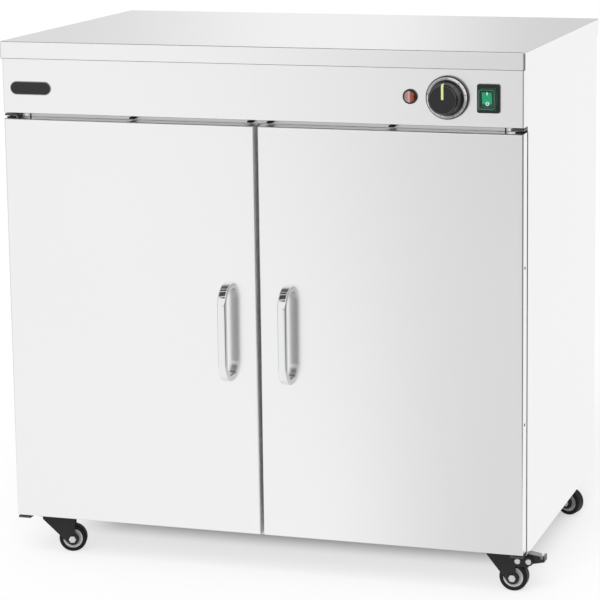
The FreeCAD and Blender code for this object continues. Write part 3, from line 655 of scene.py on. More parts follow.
@dataclass(frozen=True)
class SpunSilver(Finish):
    """Silver ring spun on a lathe, with two painted highlights fanned round it in its colour and painted
    shade between them.
    """

    centre: Point
    highlight_deg: float = 50.0
    near_highlight: Span = (0.55, 0.95)
    far_highlight: Span = (0.5, 1.0)
    far_highlight_share: float = 0.6
    painted_shade_share: float = 0.44
    line_scale: float = 26000.0
    rough_spread: float = 0.1
    metallic: float = field(default=0.4, kw_only=True)

    def dress(self, graph: NodeGraph, shader: bpy.types.Node, place: Wire) -> None:
        """Paints two fanned highlights and the shade between them into the colour, and adds the turning
        lines.

        Args:
            graph: the material's graph.
            shader: its main shader.
            place: object coordinates.
        """
        x, _, z = graph.split(place)
        across = x - self.centre[0]
        up = z - self.centre[2]
        angle = across.maths("ARCTAN2", across, up)
        swing = angle.maths("COSINE", angle - math.radians(self.highlight_deg), 0.0)
        # Painted highlights: a bright fan towards the upper right and a fainter one opposite it.
        painted_highlight = swing.above(*self.near_highlight) + (0.0 - swing).above(*self.far_highlight) * self.far_highlight_share
        reach = across.maths("SQRT", across * across + up * up, 0.0)
        turning = reach.maths("SINE", reach * self.line_scale, 0.0) * 0.5 + 0.5
        # Painted shade: away from the highlights the ring keeps only a darker share of its colour.
        dark = (*(c * self.painted_shade_share for c in self.colour), 1.0)
        graph.feed(graph.mix(painted_highlight, dark, (*self.colour, 1.0)), shader, "Base Color")
        self.vary(graph, shader, turning, self.rough_spread)


@dataclass(frozen=True)
class Ink(Finish):
    """Screen-printed ink with slightly uneven cover."""

    cover_scale: float = 700.0
    colour_spread: float = 0.06
    rough_spread: float = 0.1

    def dress(self, graph: NodeGraph, shader: bpy.types.Node, place: Wire) -> None:
        """Adds uneven cover to colour and roughness.

        Args:
            graph: the material's graph.
            shader: its main shader.
            place: object coordinates.
        """
        cover = graph.noise(place, self.cover_scale)
        self.tint(graph, shader, cover, self.colour_spread)
        self.vary(graph, shader, cover, self.rough_spread)


@dataclass(frozen=True)
class Wool(Finish):
    """Pressed mineral fibre."""

    fibre_scale: tuple[float, float, float] = (90.0, 420.0, 420.0)
    fibre_detail: float = 4.0
    fibre_sharpness: float = 0.7
    fibre_strength: float = 0.8
    fibre_depth: float = 0.6 * MM
    colour_spread: float = 0.25

    def dress(self, graph: NodeGraph, shader: bpy.types.Node, place: Wire) -> None:
        """Adds fibres to colour and normal.

        Args:
            graph: the material's graph.
            shader: its main shader.
            place: object coordinates.
        """
        stretched = graph.stretched(place, self.fibre_scale)
        fibres = graph.noise(stretched, 1.0, self.fibre_detail, self.fibre_sharpness)
        self.tint(graph, shader, fibres, self.colour_spread)
        graph.feed(graph.bump(fibres, self.fibre_strength, self.fibre_depth), shader, "Normal")


@dataclass(frozen=True)
class HeatTinted(Finish):
    """Metal sheath that long heat has darkened in patches."""

    straw: Colour = (0.34, 0.24, 0.14)
    blue: Colour = (0.16, 0.16, 0.2)
    patch_scale: float = 18.0
    patch_detail: float = 3.0
    rough_spread: float = 0.2
    metallic: float = field(default=1.0, kw_only=True)

    def dress(self, graph: NodeGraph, shader: bpy.types.Node, place: Wire) -> None:
        """Adds straw and blue patches along the sheath.

        Args:
            graph: the material's graph.
            shader: its main shader.
            place: object coordinates.
        """
        patches = graph.noise(place, self.patch_scale, self.patch_detail)
        stops = [(0.3, self.colour), (0.5, self.straw), (0.7, self.blue)]
        ramp = graph.node("ShaderNodeValToRGB", {"stops": stops}, {0: patches})
        graph.feed(graph.out(ramp), shader, "Base Color")
        self.vary(graph, shader, patches, self.rough_spread)


TOP_STEEL = BrushedSteel("steel_worktop", (0.9, 0.9, 0.905), 0.22, Grain.ALONG_X)
PANEL_STEEL = BrushedSteel("steel_panel", (0.92, 0.92, 0.925), 0.26, Grain.ALONG_X)
DOOR_STEEL = BrushedSteel("steel_door", (0.9, 0.9, 0.905), 0.22, Grain.ALONG_Z, fold_half=2.7 * MM)
CHAMBER_STEEL = BrushedSteel("steel_chamber", (0.70, 0.70, 0.71), 0.34, Grain.ALONG_X)
CHROME = Plating("chrome", (0.82, 0.825, 0.83), 0.04)
# A darker copy of the chrome: painted shade on the handle's inner faces, between strap and door.
HANDLE_SHADE = Plating("handle_back", (0.52, 0.52, 0.525), 0.3, 0.1)
# The dial ring's colour holds painted highlights and painted shade.
DIAL_SILVER = SpunSilver("dial_silver", (0.95, 0.95, 0.955), 0.32, middle("dial_bezel"))
WIRE_CHROME = Plating("wire_chrome", (0.78, 0.79, 0.80), 0.14, 0.08)
ZINC = Zinc("zinc", (0.72, 0.73, 0.74), 0.28)
HINGE_ZINC = Zinc("hinge_zinc", (0.1, 0.1, 0.102), 0.36)
TREAD_ZINC = Zinc("tread_zinc", (0.5, 0.5, 0.505), 0.36)
COPPER = Plating("copper", (0.72, 0.42, 0.26), 0.25, 0.1)
BLACK_PLASTIC = Moulded("black_plastic", (0.016, 0.016, 0.017), 0.38, gloss=0.3)
BADGE_BLACK = Moulded("badge_black", (0.018, 0.018, 0.019), 0.3, gloss=0.3)
BADGE_RIM = Plating("badge_rim", (0.34, 0.34, 0.35), 0.3, 0.08)
KNOB_FACE = Moulded("knob_face", (0.018, 0.018, 0.02), 0.5, gloss=0.25)
KNOB_SKIRT = Moulded("knob_skirt", (0.008, 0.008, 0.0085), 0.24, 0.01 * MM, gloss=0.35)
HUB_GREY = Moulded("hub_grey", (0.6, 0.6, 0.605), 0.42)
# The rocker is bright green in the middle; its dark surround is painted shade.
GREEN_PLASTIC = EdgeShadedPlastic(
    "green_plastic",
    (0.004, 0.05, 0.03),
    0.25,
    bright_middle=(0.0, 0.4, 0.17),
    centre=middle("switch_housing", BRIGHT_MIDDLE_RIGHT, BRIGHT_MIDDLE_UP),
)
BLACK_COAT = PowderCoat("black_coat", (0.014, 0.014, 0.0145), 0.42, gloss=0.25)
TYRE = Rubber("tyre_rubber", (0.01, 0.01, 0.0105), 0.5, gloss=0.2)
SEAL = Rubber("seal_rubber", (0.02, 0.02, 0.02), 0.65, gloss=0.3)
CLEAR = ClearPlastic("clear_cover", (0.03, 0.2, 0.13), 0.12)
# The lamp lens's colour holds a painted reflection, a painted glint and painted shade.
AMBER = Lens("amber_lens", (0.26, 0.035, 0.006), 0.15, (0.34, 0.18, 0.195), middle("pilot_lamp_lens"))
# The lip is real; its pale plating is partly a painted highlight round the edge of the knob's face.
KNOB_LIP = Plating("knob_lip", (0.3, 0.3, 0.305), 0.3)
# Pale rim colour: a painted highlight along the edges of the clear switch cover.
COVER_HIGHLIGHT_RIM = Moulded("cover_rim", (0.13, 0.19, 0.165), 0.25)
POINTER_INK = Ink("pointer_ink", (0.54, 0.62, 0.24), 0.45, gloss=0.2)
WHITE_INK = Ink("white_ink", (0.95, 0.96, 0.95), 0.4)
DARK_INK = Ink("dark_ink", (0.03, 0.03, 0.032), 0.45)
WOOL = Wool("mineral_wool", (0.62, 0.56, 0.36), 0.9)
SHEATH = HeatTinted("element_sheath", (0.22, 0.21, 0.2), 0.45)


def piece_from(
    name: str,
    bm: bmesh.types.BMesh,
    finish: Finish,
    sharp_deg: float = SHARP_DEG,
) -> bpy.types.Object:
    """Turns a bmesh into a finished object at the origin.

    Args:
        name: the piece's name.
        bm: its mesh, in metres in the shared frame; it is freed here.
        finish: its finish.
        sharp_deg: the angle over which an edge stays sharp.

    Returns:
        The new object.
    """
    bmesh.ops.remove_doubles(bm, verts=bm.verts, dist=WELD)
    bmesh.ops.recalc_face_normals(bm, faces=bm.faces)
    mesh = bpy.data.meshes.new(name)
    bm.to_mesh(mesh)
    bm.free()
    return finished(name, mesh, finish, sharp_deg)


def finished(
    name: str,
    mesh: bpy.types.Mesh,
    finish: Finish,
    sharp_deg: float = SHARP_DEG,
) -> bpy.types.Object:
    """Smooths a mesh, dresses it and puts it in the scene.

    Args:
        name: the piece's name.
        mesh: its mesh.
        finish: its finish.
        sharp_deg: the angle over which an edge stays sharp.

    Returns:
        The new object.
    """
    for polygon in mesh.polygons:
        polygon.use_smooth = True
    mesh.set_sharp_from_angle(angle=math.radians(sharp_deg))
    made = bpy.data.objects.new(name, mesh)
    made.data.materials.clear()
    made.data.materials.append(finish.material())
    bpy.context.scene.collection.objects.link(made)
    LOG.info("made %s", name)
    return made


def dress_nodes(finish: Finish, nodes: Iterable[str]) -> None:
    """Gives CAD nodes a finish.

    Args:
        finish: the finish.
        nodes: the nodes' names.
    """
    for node in nodes:
        data = frame["nodes"][node].data
        data.materials.clear()
        data.materials.append(finish.material())
        LOG.info("dressed %s", node)


def bridge_rings(bm: bmesh.types.BMesh, rings: Sequence[Sequence[Vector]], cap: bool = True) -> None:
    """Skins rings of points into a closed tube.

    Args:
        bm: the mesh to add to.
        rings: rings with equal numbers of points.
        cap: whether the two ends get a face.
    """
    loops = [[bm.verts.new(point) for point in ring] for ring in rings]
    count = len(loops[0])
    for a, b in zip(loops, loops[1:]):
        for i in range(count):
            j = (i + 1) % count
            bm.faces.new((a[i], a[j], b[j], b[i]))
    if cap:
        bm.faces.new(list(reversed(loops[0])))
        bm.faces.new(loops[-1])


def lathe(
    bm: bmesh.types.BMesh,
    centre: Vector,
    profile: Sequence[tuple[float, float]],
    steps: int = 64,
) -> None:
    """Spins a closed profile round an axis along Y.

    Args:
        bm: the mesh to add to.
        centre: a point on the axis.
        profile: closed outline as radius and distance towards the front.
        steps: facets round the axis.
    """
    rings = []
    for i in range(steps):
        a = math.tau * i / steps
        ring = []
        for radius, out in profile:
            offset = Vector((radius * math.cos(a), -out, radius * math.sin(a)))
            ring.append(centre + offset)
        rings.append(ring)
    bridge_rings(bm, rings + rings[:1], cap=False)


def rounded_outline(width: float, height: float, radius: float, steps: int = 10) -> list[tuple[float, float]]:
    """A rectangle with round corners.

    Args:
        width: whole width.
        height: whole height.
        radius: corner radius.
        steps: facets in each corner.

    Returns:
        Points about the middle, going round once.
    """
    points = []
    for corner, (sx, sy) in enumerate(((1, 1), (-1, 1), (-1, -1), (1, -1))):
        cx = sx * (width / 2 - radius)
        cy = sy * (height / 2 - radius)
        for i in range(steps + 1):
            a = math.pi / 2 * (corner + i / steps)
            points.append((cx + radius * math.cos(a), cy + radius * math.sin(a)))
    return points


class RepeatTree:
    """A Geometry Nodes tree that copies one small form over points."""

    def __init__(self, name: str) -> None:
        """Starts an empty tree.

        Args:
            name: the tree's name.
        """
        self.tree = bpy.data.node_groups.new(name, "GeometryNodeTree")
        self.graph = NodeGraph(self.tree)
        self.tree.interface.new_socket("Geometry", in_out="INPUT", socket_type="NodeSocketGeometry")
        self.tree.interface.new_socket("Geometry", in_out="OUTPUT", socket_type="NodeSocketGeometry")
        self.entry = self.graph.node("NodeGroupInput")
        self.values: dict[str, Any] = {}

    def size(self, name: str, value: float) -> Wire:
        """Adds a named number.

        Args:
            name: the input's name.
            value: the value that the modifier gives it.

        Returns:
            The number inside the tree.
        """
        return self.input(name, "NodeSocketFloat", value)

    def count(self, name: str, value: int) -> Wire:
        """Adds a named whole number and returns it inside the tree."""
        return self.input(name, "NodeSocketInt", value)

    def input(self, name: str, kind: str, value: Any) -> Wire:
        """Adds a named input.

        Args:
            name: the input's name.
            kind: its socket type.
            value: the value that the modifier gives it.

        Returns:
            The input inside the tree.
        """
        socket = self.tree.interface.new_socket(name, in_out="INPUT", socket_type=kind)
        self.values[socket.identifier] = value
        return self.graph.out(self.entry, name)

    def place(self, geometry: Wire, at: Vector, facing: Facing) -> Wire:
        """Turns and moves what the tree has made, by named inputs.

        Args:
            geometry: what to move.
            at: where it goes, in the shared frame.
            facing: the way it faces.

        Returns:
            The moved geometry.
        """
        spot = self.input("Place", "NodeSocketVector", tuple(at))
        turn = self.input("Turn", "NodeSocketVector", facing.value)
        values = {"Geometry": geometry, "Translation": spot, "Rotation": turn}
        return self.graph.out(self.graph.node("GeometryNodeTransform", None, values))

    def build(self, name: str, geometry: Wire, finish: Finish) -> bpy.types.Object:
        """Ends the tree, runs it once and keeps the result as a plain mesh.

        Args:
            name: the piece's name.
            geometry: what the tree has made.
            finish: its finish.

        Returns:
            The new object.
        """
        real = self.graph.out(self.graph.node("GeometryNodeRealizeInstances", None, {"Geometry": geometry}))
        values = {"Geometry": real, "Material": finish.material()}
        dressed = self.graph.out(self.graph.node("GeometryNodeSetMaterial", None, values))
        self.graph.node("NodeGroupOutput", None, {"Geometry": dressed})
        carrier = bpy.data.objects.new(name + "_carrier", bpy.data.meshes.new(name + "_carrier"))
        bpy.context.scene.collection.objects.link(carrier)
        modifier = carrier.modifiers.new("repeat", "NODES")
        modifier.node_group = self.tree
        for identifier, value in self.values.items():
            modifier[identifier] = value
        depsgraph = bpy.context.evaluated_depsgraph_get()
        mesh = bpy.data.meshes.new_from_object(carrier.evaluated_get(depsgraph))
        mesh.name = name
        bpy.data.objects.remove(carrier)
        bpy.data.node_groups.remove(self.tree)
        return finished(name, mesh, finish)


@dataclass
class ScrewField:
    """Pan-head screws on a grid of places, or plain rivets where there is no slot."""

    name: str
    centre: Vector
    facing: Facing
    width: float
    height: float
    columns: int
    rows: int
    head_radius: float = 3.6 * MM
    head_height: float = 2.0 * MM
    slot_share: float = 0.2
    slot_reach_share: float = 1.1
    slot_depth_share: float = 0.5
    dome_segments: int = 18
    dome_rings: int = 10
    weld: float = 0.03 * MM
    finish: Finish = ZINC

    def head(self, repeat: RepeatTree) -> Wire:
        """Makes one head: a low dome, with a cross recess unless it is a rivet.

        Args:
            repeat: the tree to build in.

        Returns:
            The head's geometry.
        """
        graph = repeat.graph
        radius = repeat.size("Head Radius", self.head_radius)
        height = repeat.size("Head Height", self.head_height)
        values = {"Segments": self.dome_segments, "Rings": self.dome_rings}
        dome = graph.out(graph.node("GeometryNodeMeshUVSphere", None, values))
        combine = graph.node("ShaderNodeCombineXYZ", None, {0: radius, 1: radius, 2: height})
        values = {"Geometry": dome, "Scale": graph.out(combine)}
        dome = graph.out(graph.node("GeometryNodeTransform", None, values))
        if self.slot_share == 0:
            return dome
        cutters = []
        for across in (False, True):
            reach = radius * self.slot_reach_share
            narrow = radius * self.slot_share
            first, second = (narrow, reach) if across else (reach, narrow)
            deep = height * self.slot_depth_share
            size = graph.out(graph.node("ShaderNodeCombineXYZ", None, {0: first, 1: second, 2: deep}))
            bar = graph.out(graph.node("GeometryNodeMeshCube", None, {"Size": size}))
            lift = graph.out(graph.node("ShaderNodeCombineXYZ", None, {2: height}))
            values = {"Geometry": bar, "Translation": lift}
            cutters.append(graph.out(graph.node("GeometryNodeTransform", None, values)))
        settings = {"operation": "DIFFERENCE", "solver": "EXACT"}
        boolean = graph.node("GeometryNodeMeshBoolean", settings, {0: dome})
        for cutter in cutters:
            graph.feed(cutter, boolean, 1)
        values = {"Geometry": graph.out(boolean), "Distance": self.weld}
        return graph.out(graph.node("GeometryNodeMergeByDistance", None, values))

    def build(self, body: str) -> bpy.types.Object:
        """Makes the screws as one piece that rides on a body.

        Args:
            body: the body's name.

        Returns:
            The piece.
        """
        repeat = RepeatTree(self.name)
        graph = repeat.graph
        grid = graph.node(
            "GeometryNodeMeshGrid",
            None,
            {
                "Size X": repeat.size("Width", self.width),
                "Size Y": repeat.size("Height", self.height),
                "Vertices X": repeat.count("Columns", self.columns),
                "Vertices Y": repeat.count("Rows", self.rows),
            },
        )
        values = {"Points": graph.out(grid), "Instance": self.head(repeat)}
        spread = graph.out(graph.node("GeometryNodeInstanceOnPoints", None, values))
        made = repeat.build(self.name, repeat.place(spread, self.centre, self.facing), self.finish)
        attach(made, body)
        LOG.info("%s: %d heads", self.name, self.columns * self.rows)
        return made


@dataclass
class Cabinet:
    """The sheet-metal shell with its bare badge, buffers, dark shade strips, rail joint covers and back
    screws.
    """

    badge_width: float = 61.4 * MM
    badge_height: float = 18.9 * MM
    badge_from_side: float = 11.6 * MM
    badge_drop: float = 65.1 * MM
    badge_rim: float = 1.0 * MM
    rim_steps: Profile = ((0.0, 0.0), (0.0, 0.5), (0.2, 0.75), (0.6, 0.85), (1.4, 0.8))
    badge_steps: Profile = ((0.0, 0.0), (0.0, 0.85), (0.3, 1.0), (0.8, 1.05))
    corner_slack: float = 0.001 * MM
    buffer_places: tuple[float, ...] = (-187.0, -14.0, 14.0, 187.0)
    buffer_width: float = 8.0 * MM
    buffer_height: float = 2.6 * MM
    buffer_length: float = 9.0 * MM
    buffer_radius: float = 1.0 * MM
    buffer_steps: int = 4
    buffer_edge: Profile = ((1.0, 0.0), (1.0, 0.85), (0.9, 0.97), (0.7, 1.0))
    buffer_above_door: float = 3.2 * MM
    # Size of the dark strip painted as shade under the worktop's skirt.
    shade_strip_height: float = 0.8 * MM
    shade_strip_out: float = 0.8 * MM
    shade_strip_sink: float = 0.3 * MM
    post_shade_corners: Profile = ((0.3, -1.5), (0.3, 1.4), (-1.9, 1.4), (-1.9, -0.3))
    joint_rise: float = 0.4 * MM
    joint_from_side: float = 29.0 * MM
    joint_width: float = 1.8 * MM
    back_screw_inset: float = 9.0 * MM
    back_screw_top: float = 40.0 * MM
    back_screw_bottom: float = 20.0 * MM
    back_screw_rows: int = 5

    def dress(self) -> None:
        """Gives each sheet its grain."""
        dress_nodes(TOP_STEEL, ["worktop"])
        dress_nodes(PANEL_STEEL, ["control_panel", "back_panel"])
        dress_nodes(DOOR_STEEL, ["left_side_panel", "right_side_panel"])
        dress_nodes(CHAMBER_STEEL, ["base_tray", "top_rail", "bottom_rail"])
        dress_nodes(HINGE_ZINC, ["hinge_lugs"])
        dress_nodes(BLACK_COAT, ["caster_plates"])
        dress_nodes(SEAL, ["cable_inlet"])

    def pill(self, name: str, inset: float, steps: Profile, finish: Finish) -> bpy.types.Object:
        """Makes one pill-shaped layer of the bare badge.

        Args:
            name: the piece's name.
            inset: how far the layer stays inside the badge's outline.
            steps: inset and height of each ring of its edge, in millimetres.
            finish: its finish.

        Returns:
            The piece.
        """
        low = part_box("control_panel")[0]
        x = low.x + self.badge_from_side + self.badge_width / 2
        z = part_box("worktop")[1].z - self.badge_drop
        bm = bmesh.new()
        rings = []
        for step, out in steps:
            width = self.badge_width - 2 * (inset + step * MM)
            height = self.badge_height - 2 * (inset + step * MM)
            outline = rounded_outline(width, height, height / 2 - self.corner_slack)
            rings.append([Vector((x + u, low.y - out * MM, z + v)) for u, v in outline])
        bridge_rings(bm, rings)
        made = piece_from(name, bm, finish)
        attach(made, "cabinet")
        return made

    def badge(self) -> None:
        """Makes the bare plate at the left end of the control panel, with its narrow rim."""
        self.pill("badge_rim", 0.0, self.rim_steps, BADGE_RIM)
        self.pill("badge_plate", self.badge_rim, self.badge_steps, BADGE_BLACK)

    def buffers(self) -> bpy.types.Object:
        """Puts the rubber buffers on the rail over the doors.

        Returns:
            The piece.
        """
        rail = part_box("top_rail")[0].y
        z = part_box("left_door_skin")[1].z + self.buffer_above_door
        steps = self.buffer_steps
        outline = rounded_outline(self.buffer_width, self.buffer_height, self.buffer_radius, steps)
        bm = bmesh.new()
        for place in self.buffer_places:
            rings = []
            for share, out in self.buffer_edge:
                y = rail - out * self.buffer_length
                rings.append([Vector((place * MM + u * share, y, z + v * share)) for u, v in outline])
            bridge_rings(bm, rings)
        made = piece_from("rail_buffers", bm, SEAL)
        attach(made, "cabinet")
        return made

    def skirt_shade_strip(self) -> bpy.types.Object:
        """Runs a dark strip under the worktop's skirt, along the front and both sides, as painted shade under
        the skirt's lower edge.

        Returns:
            The piece.
        """
        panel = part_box("control_panel")[0]
        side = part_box("right_side_panel")[1]
        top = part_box("worktop")[0].z
        low = top - self.shade_strip_height
        reaches = (-self.shade_strip_sink, self.shade_strip_out, self.shade_strip_out, -self.shade_strip_sink)
        section = list(zip(reaches, (low, low, top, top)))
        rings = []
        for x, y in ((-1, 1), (-1, -1), (1, -1), (1, 1)):
            ring = []
            for reach, z in section:
                back = side.y if y > 0 else panel.y - reach
                ring.append(Vector((x * (side.x + reach), back, z)))
            rings.append(ring)
        bm = bmesh.new()
        bridge_rings(bm, rings)
        # Painted shade: the dark strip stands for the shadow under the skirt's edge.
        made = piece_from("worktop_shade_strip", bm, SEAL)
        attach(made, "cabinet")
        return made

    def post_shade_and_joints(self) -> bpy.types.Object:
        """Wraps a dark strip round the front corner of each post, as painted shade in the gap beside the
        door, and covers the joints of the rail.

        Returns:
            The piece.
        """
        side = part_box("right_side_panel")
        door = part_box("right_door_skin")
        joint = side[1].x - self.joint_from_side
        spans = [(joint, -self.joint_width), (joint, 0.0), (joint, 0.0), (joint, -self.joint_width)]
        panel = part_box("control_panel")[0].z
        bm = bmesh.new()
        # Painted shade: the corner strip darkens each post's front edge where the gap beside the door is in
        # shadow; the rail strips cover real joints.
        for sign in (-1.0, 1.0):
            corner = []
            for u, v in self.post_shade_corners:
                corner.append(Vector((sign * (side[1].x + u * MM), side[0].y - v * MM, 0.0)))
            strip = []
            for (x, step), out in zip(spans, (0.0, 0.0, self.joint_rise, self.joint_rise)):
                strip.append(Vector((sign * (x + step), side[0].y - out, 0.0)))
            for outline, low, high in ((corner, door[0].z, door[1].z), (strip, door[1].z, panel)):
                bridge_rings(bm, [[point + Vector((0.0, 0.0, z)) for point in outline] for z in (low, high)])
        made = piece_from("post_shade_and_rail_joints", bm, SEAL)
        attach(made, "cabinet")
        return made

    def back_screws(self) -> None:
        """Puts a row of screws down each side of the back panel."""
        low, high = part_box("back_panel")
        bottom = low.z + self.back_screw_bottom
        top = high.z - self.back_screw_top
        centre = Vector(((low.x + high.x) / 2, high.y, (bottom + top) / 2))
        width = high.x - low.x - 2 * self.back_screw_inset
        ScrewField(
            "back_screws",
            centre,
            Facing.BACK,
            width=width,
            height=top - bottom,
            columns=2,
            rows=self.back_screw_rows,
        ).build("cabinet")

    def build(self) -> None:
        """Dresses the shell and adds its details."""
        self.dress()
        self.badge()
        self.buffers()
        self.skirt_shade_strip()
        self.post_shade_and_joints()
        self.back_screws()
        LOG.info("cabinet dressed")


@dataclass
class Chamber:
    """The heated inside: liner sheets, shelves, element and catches."""

    def build(self) -> None:
        """Gives each inner piece its finish."""
        walls = ["chamber_side_walls", "chamber_back_wall", "chamber_ceiling", "chamber_floor"]
        dress_nodes(CHAMBER_STEEL, walls)
        dress_nodes(WIRE_CHROME, ["upper_shelf", "lower_shelf"])
        dress_nodes(ZINC, ["shelf_supports", "heater_brackets"])
        dress_nodes(SHEATH, ["heating_element"])
        dress_nodes(WOOL, ["wall_insulation"])
        dress_nodes(BLACK_PLASTIC, ["magnet_catches", "thermostat_body"])
        dress_nodes(COPPER, ["thermostat_probe"])
        LOG.info("chamber dressed")


@dataclass
class Door:
    """One door: brushed pan, liner, seal, bow handle, strike plate and edge rivets."""

    side: str
    strap: float = 8.5 * MM
    bend_radius: float = 28.0 * MM
    edge_radius: float = 1.8 * MM
    bend_steps: int = 28
    edge_steps: int = 6
    handle_sharp_deg: float = 50.0
    shade_facing_share: float = 0.35
    shade_up_share: float = 0.25
    strike_thickness: float = 0.3 * MM
    strike_width: float = 36.0 * MM
    strike_height: float = 12.0 * MM
    strike_radius: float = 2.0 * MM
    strike_steps: int = 4
    strike_inset: float = 2.0 * MM
    rivet_apart: float = 215.0 * MM
    rivet_radius: float = 2.2 * MM
    rivet_height: float = 0.7 * MM

    @property
    def body(self) -> str:
        """The name of the door's body."""
        return self.side + "_door"

    def handle(self) -> bpy.types.Object:
        """Sweeps the bow handle's strap out of the door and back, with painted shade on its inner faces.

        Returns:
            The handle, which stands for its CAD node.
        """
        node = self.side + "_handle"
        low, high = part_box(node)
        x = (low.x + high.x) / 2
        section = rounded_outline(high.x - low.x, self.strap, self.edge_radius, self.edge_steps)
        centre_radius = self.bend_radius - self.strap / 2
        front = low.y + self.strap / 2
        top = high.z - self.strap / 2
        bottom = low.z + self.strap / 2
        stations = [(high.y, bottom, 0.0)]
        for i in range(self.bend_steps + 1):
            a = math.pi / 2 * i / self.bend_steps
            y = front + centre_radius * (1 - math.sin(a))
            z = bottom + centre_radius * (1 - math.cos(a))
            stations.append((y, z, a))
        for i in range(self.bend_steps + 1):
            a = math.pi / 2 * i / self.bend_steps
            y = front + centre_radius * (1 - math.cos(a))
            z = top - centre_radius * (1 - math.sin(a))
            stations.append((y, z, math.pi / 2 + a))
        stations.append((high.y, top, math.pi))
        rings = []
        for y, z, turn in stations:
            side = Vector((0.0, -math.sin(turn), -math.cos(turn)))
            rings.append([Vector((x + u, y, z)) + side * v for u, v in section])
        bm = bmesh.new()
        bridge_rings(bm, rings)
        made = piece_from(self.side + "_bow_handle", bm, CHROME, self.handle_sharp_deg)
        # Faces that turn back towards the door and don't face up take the darker chrome, as painted shade.
        made.data.materials.append(HANDLE_SHADE.material())
        inside = Vector((x, high.y, (top + bottom) / 2))
        for polygon in made.data.polygons:
            inward = (inside - polygon.center).normalized()
            if polygon.normal.dot(inward) > self.shade_facing_share and polygon.normal.z < self.shade_up_share:
                polygon.material_index = 1
        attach(made, self.body)
        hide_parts(node)
        return made

    def strike(self) -> bpy.types.Object:
        """Puts the thin strike plate on the liner, opposite the magnet catch.

        Returns:
            The piece.
        """
        low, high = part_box("magnet_catches")
        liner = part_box(self.side + "_door_liner")
        sign = 1.0 if self.side == "right" else -1.0
        x = sign * (high.x - self.strike_width / 2 - self.strike_inset)
        z = (low.z + high.z) / 2
        steps = self.strike_steps
        outline = rounded_outline(self.strike_width, self.strike_height, self.strike_radius, steps)
        rings = []
        for y in (liner[1].y, liner[1].y + self.strike_thickness):
            rings.append([Vector((x + u, y, z + v)) for u, v in outline])
        bm = bmesh.new()
        bridge_rings(bm, rings)
        made = piece_from(self.side + "_strike_plate", bm, ZINC)
        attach(made, self.body)
        return made

    def rivets(self) -> None:
        """Puts the two small rivets in the door's outer edge."""
        low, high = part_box(self.side + "_door_skin")
        right = self.side == "right"
        centre = Vector((high.x if right else low.x, (low.y + high.y) / 2, (low.z + high.z) / 2))
        facing = Facing.RIGHT if right else Facing.LEFT
        ScrewField(
            self.side + "_door_rivets",
            centre,
            facing,
            width=self.rivet_apart,
            height=0.0,
            columns=2,
            rows=1,
            head_radius=self.rivet_radius,
            head_height=self.rivet_height,
            slot_share=0.0,
            finish=HINGE_ZINC,
        ).build(self.body)

    def build(self) -> None:
        """Dresses the door and adds its handle, strike plate and edge rivets."""
        dress_nodes(DOOR_STEEL, [self.side + "_door_skin"])
        dress_nodes(CHAMBER_STEEL, [self.side + "_door_liner"])
        dress_nodes(SEAL, [self.side + "_door_gasket"])
        dress_nodes(BLACK_PLASTIC, [self.side + "_door_bushes"])
        self.handle()
        self.strike()
        self.rivets()
        LOG.info("%s door dressed", self.side)


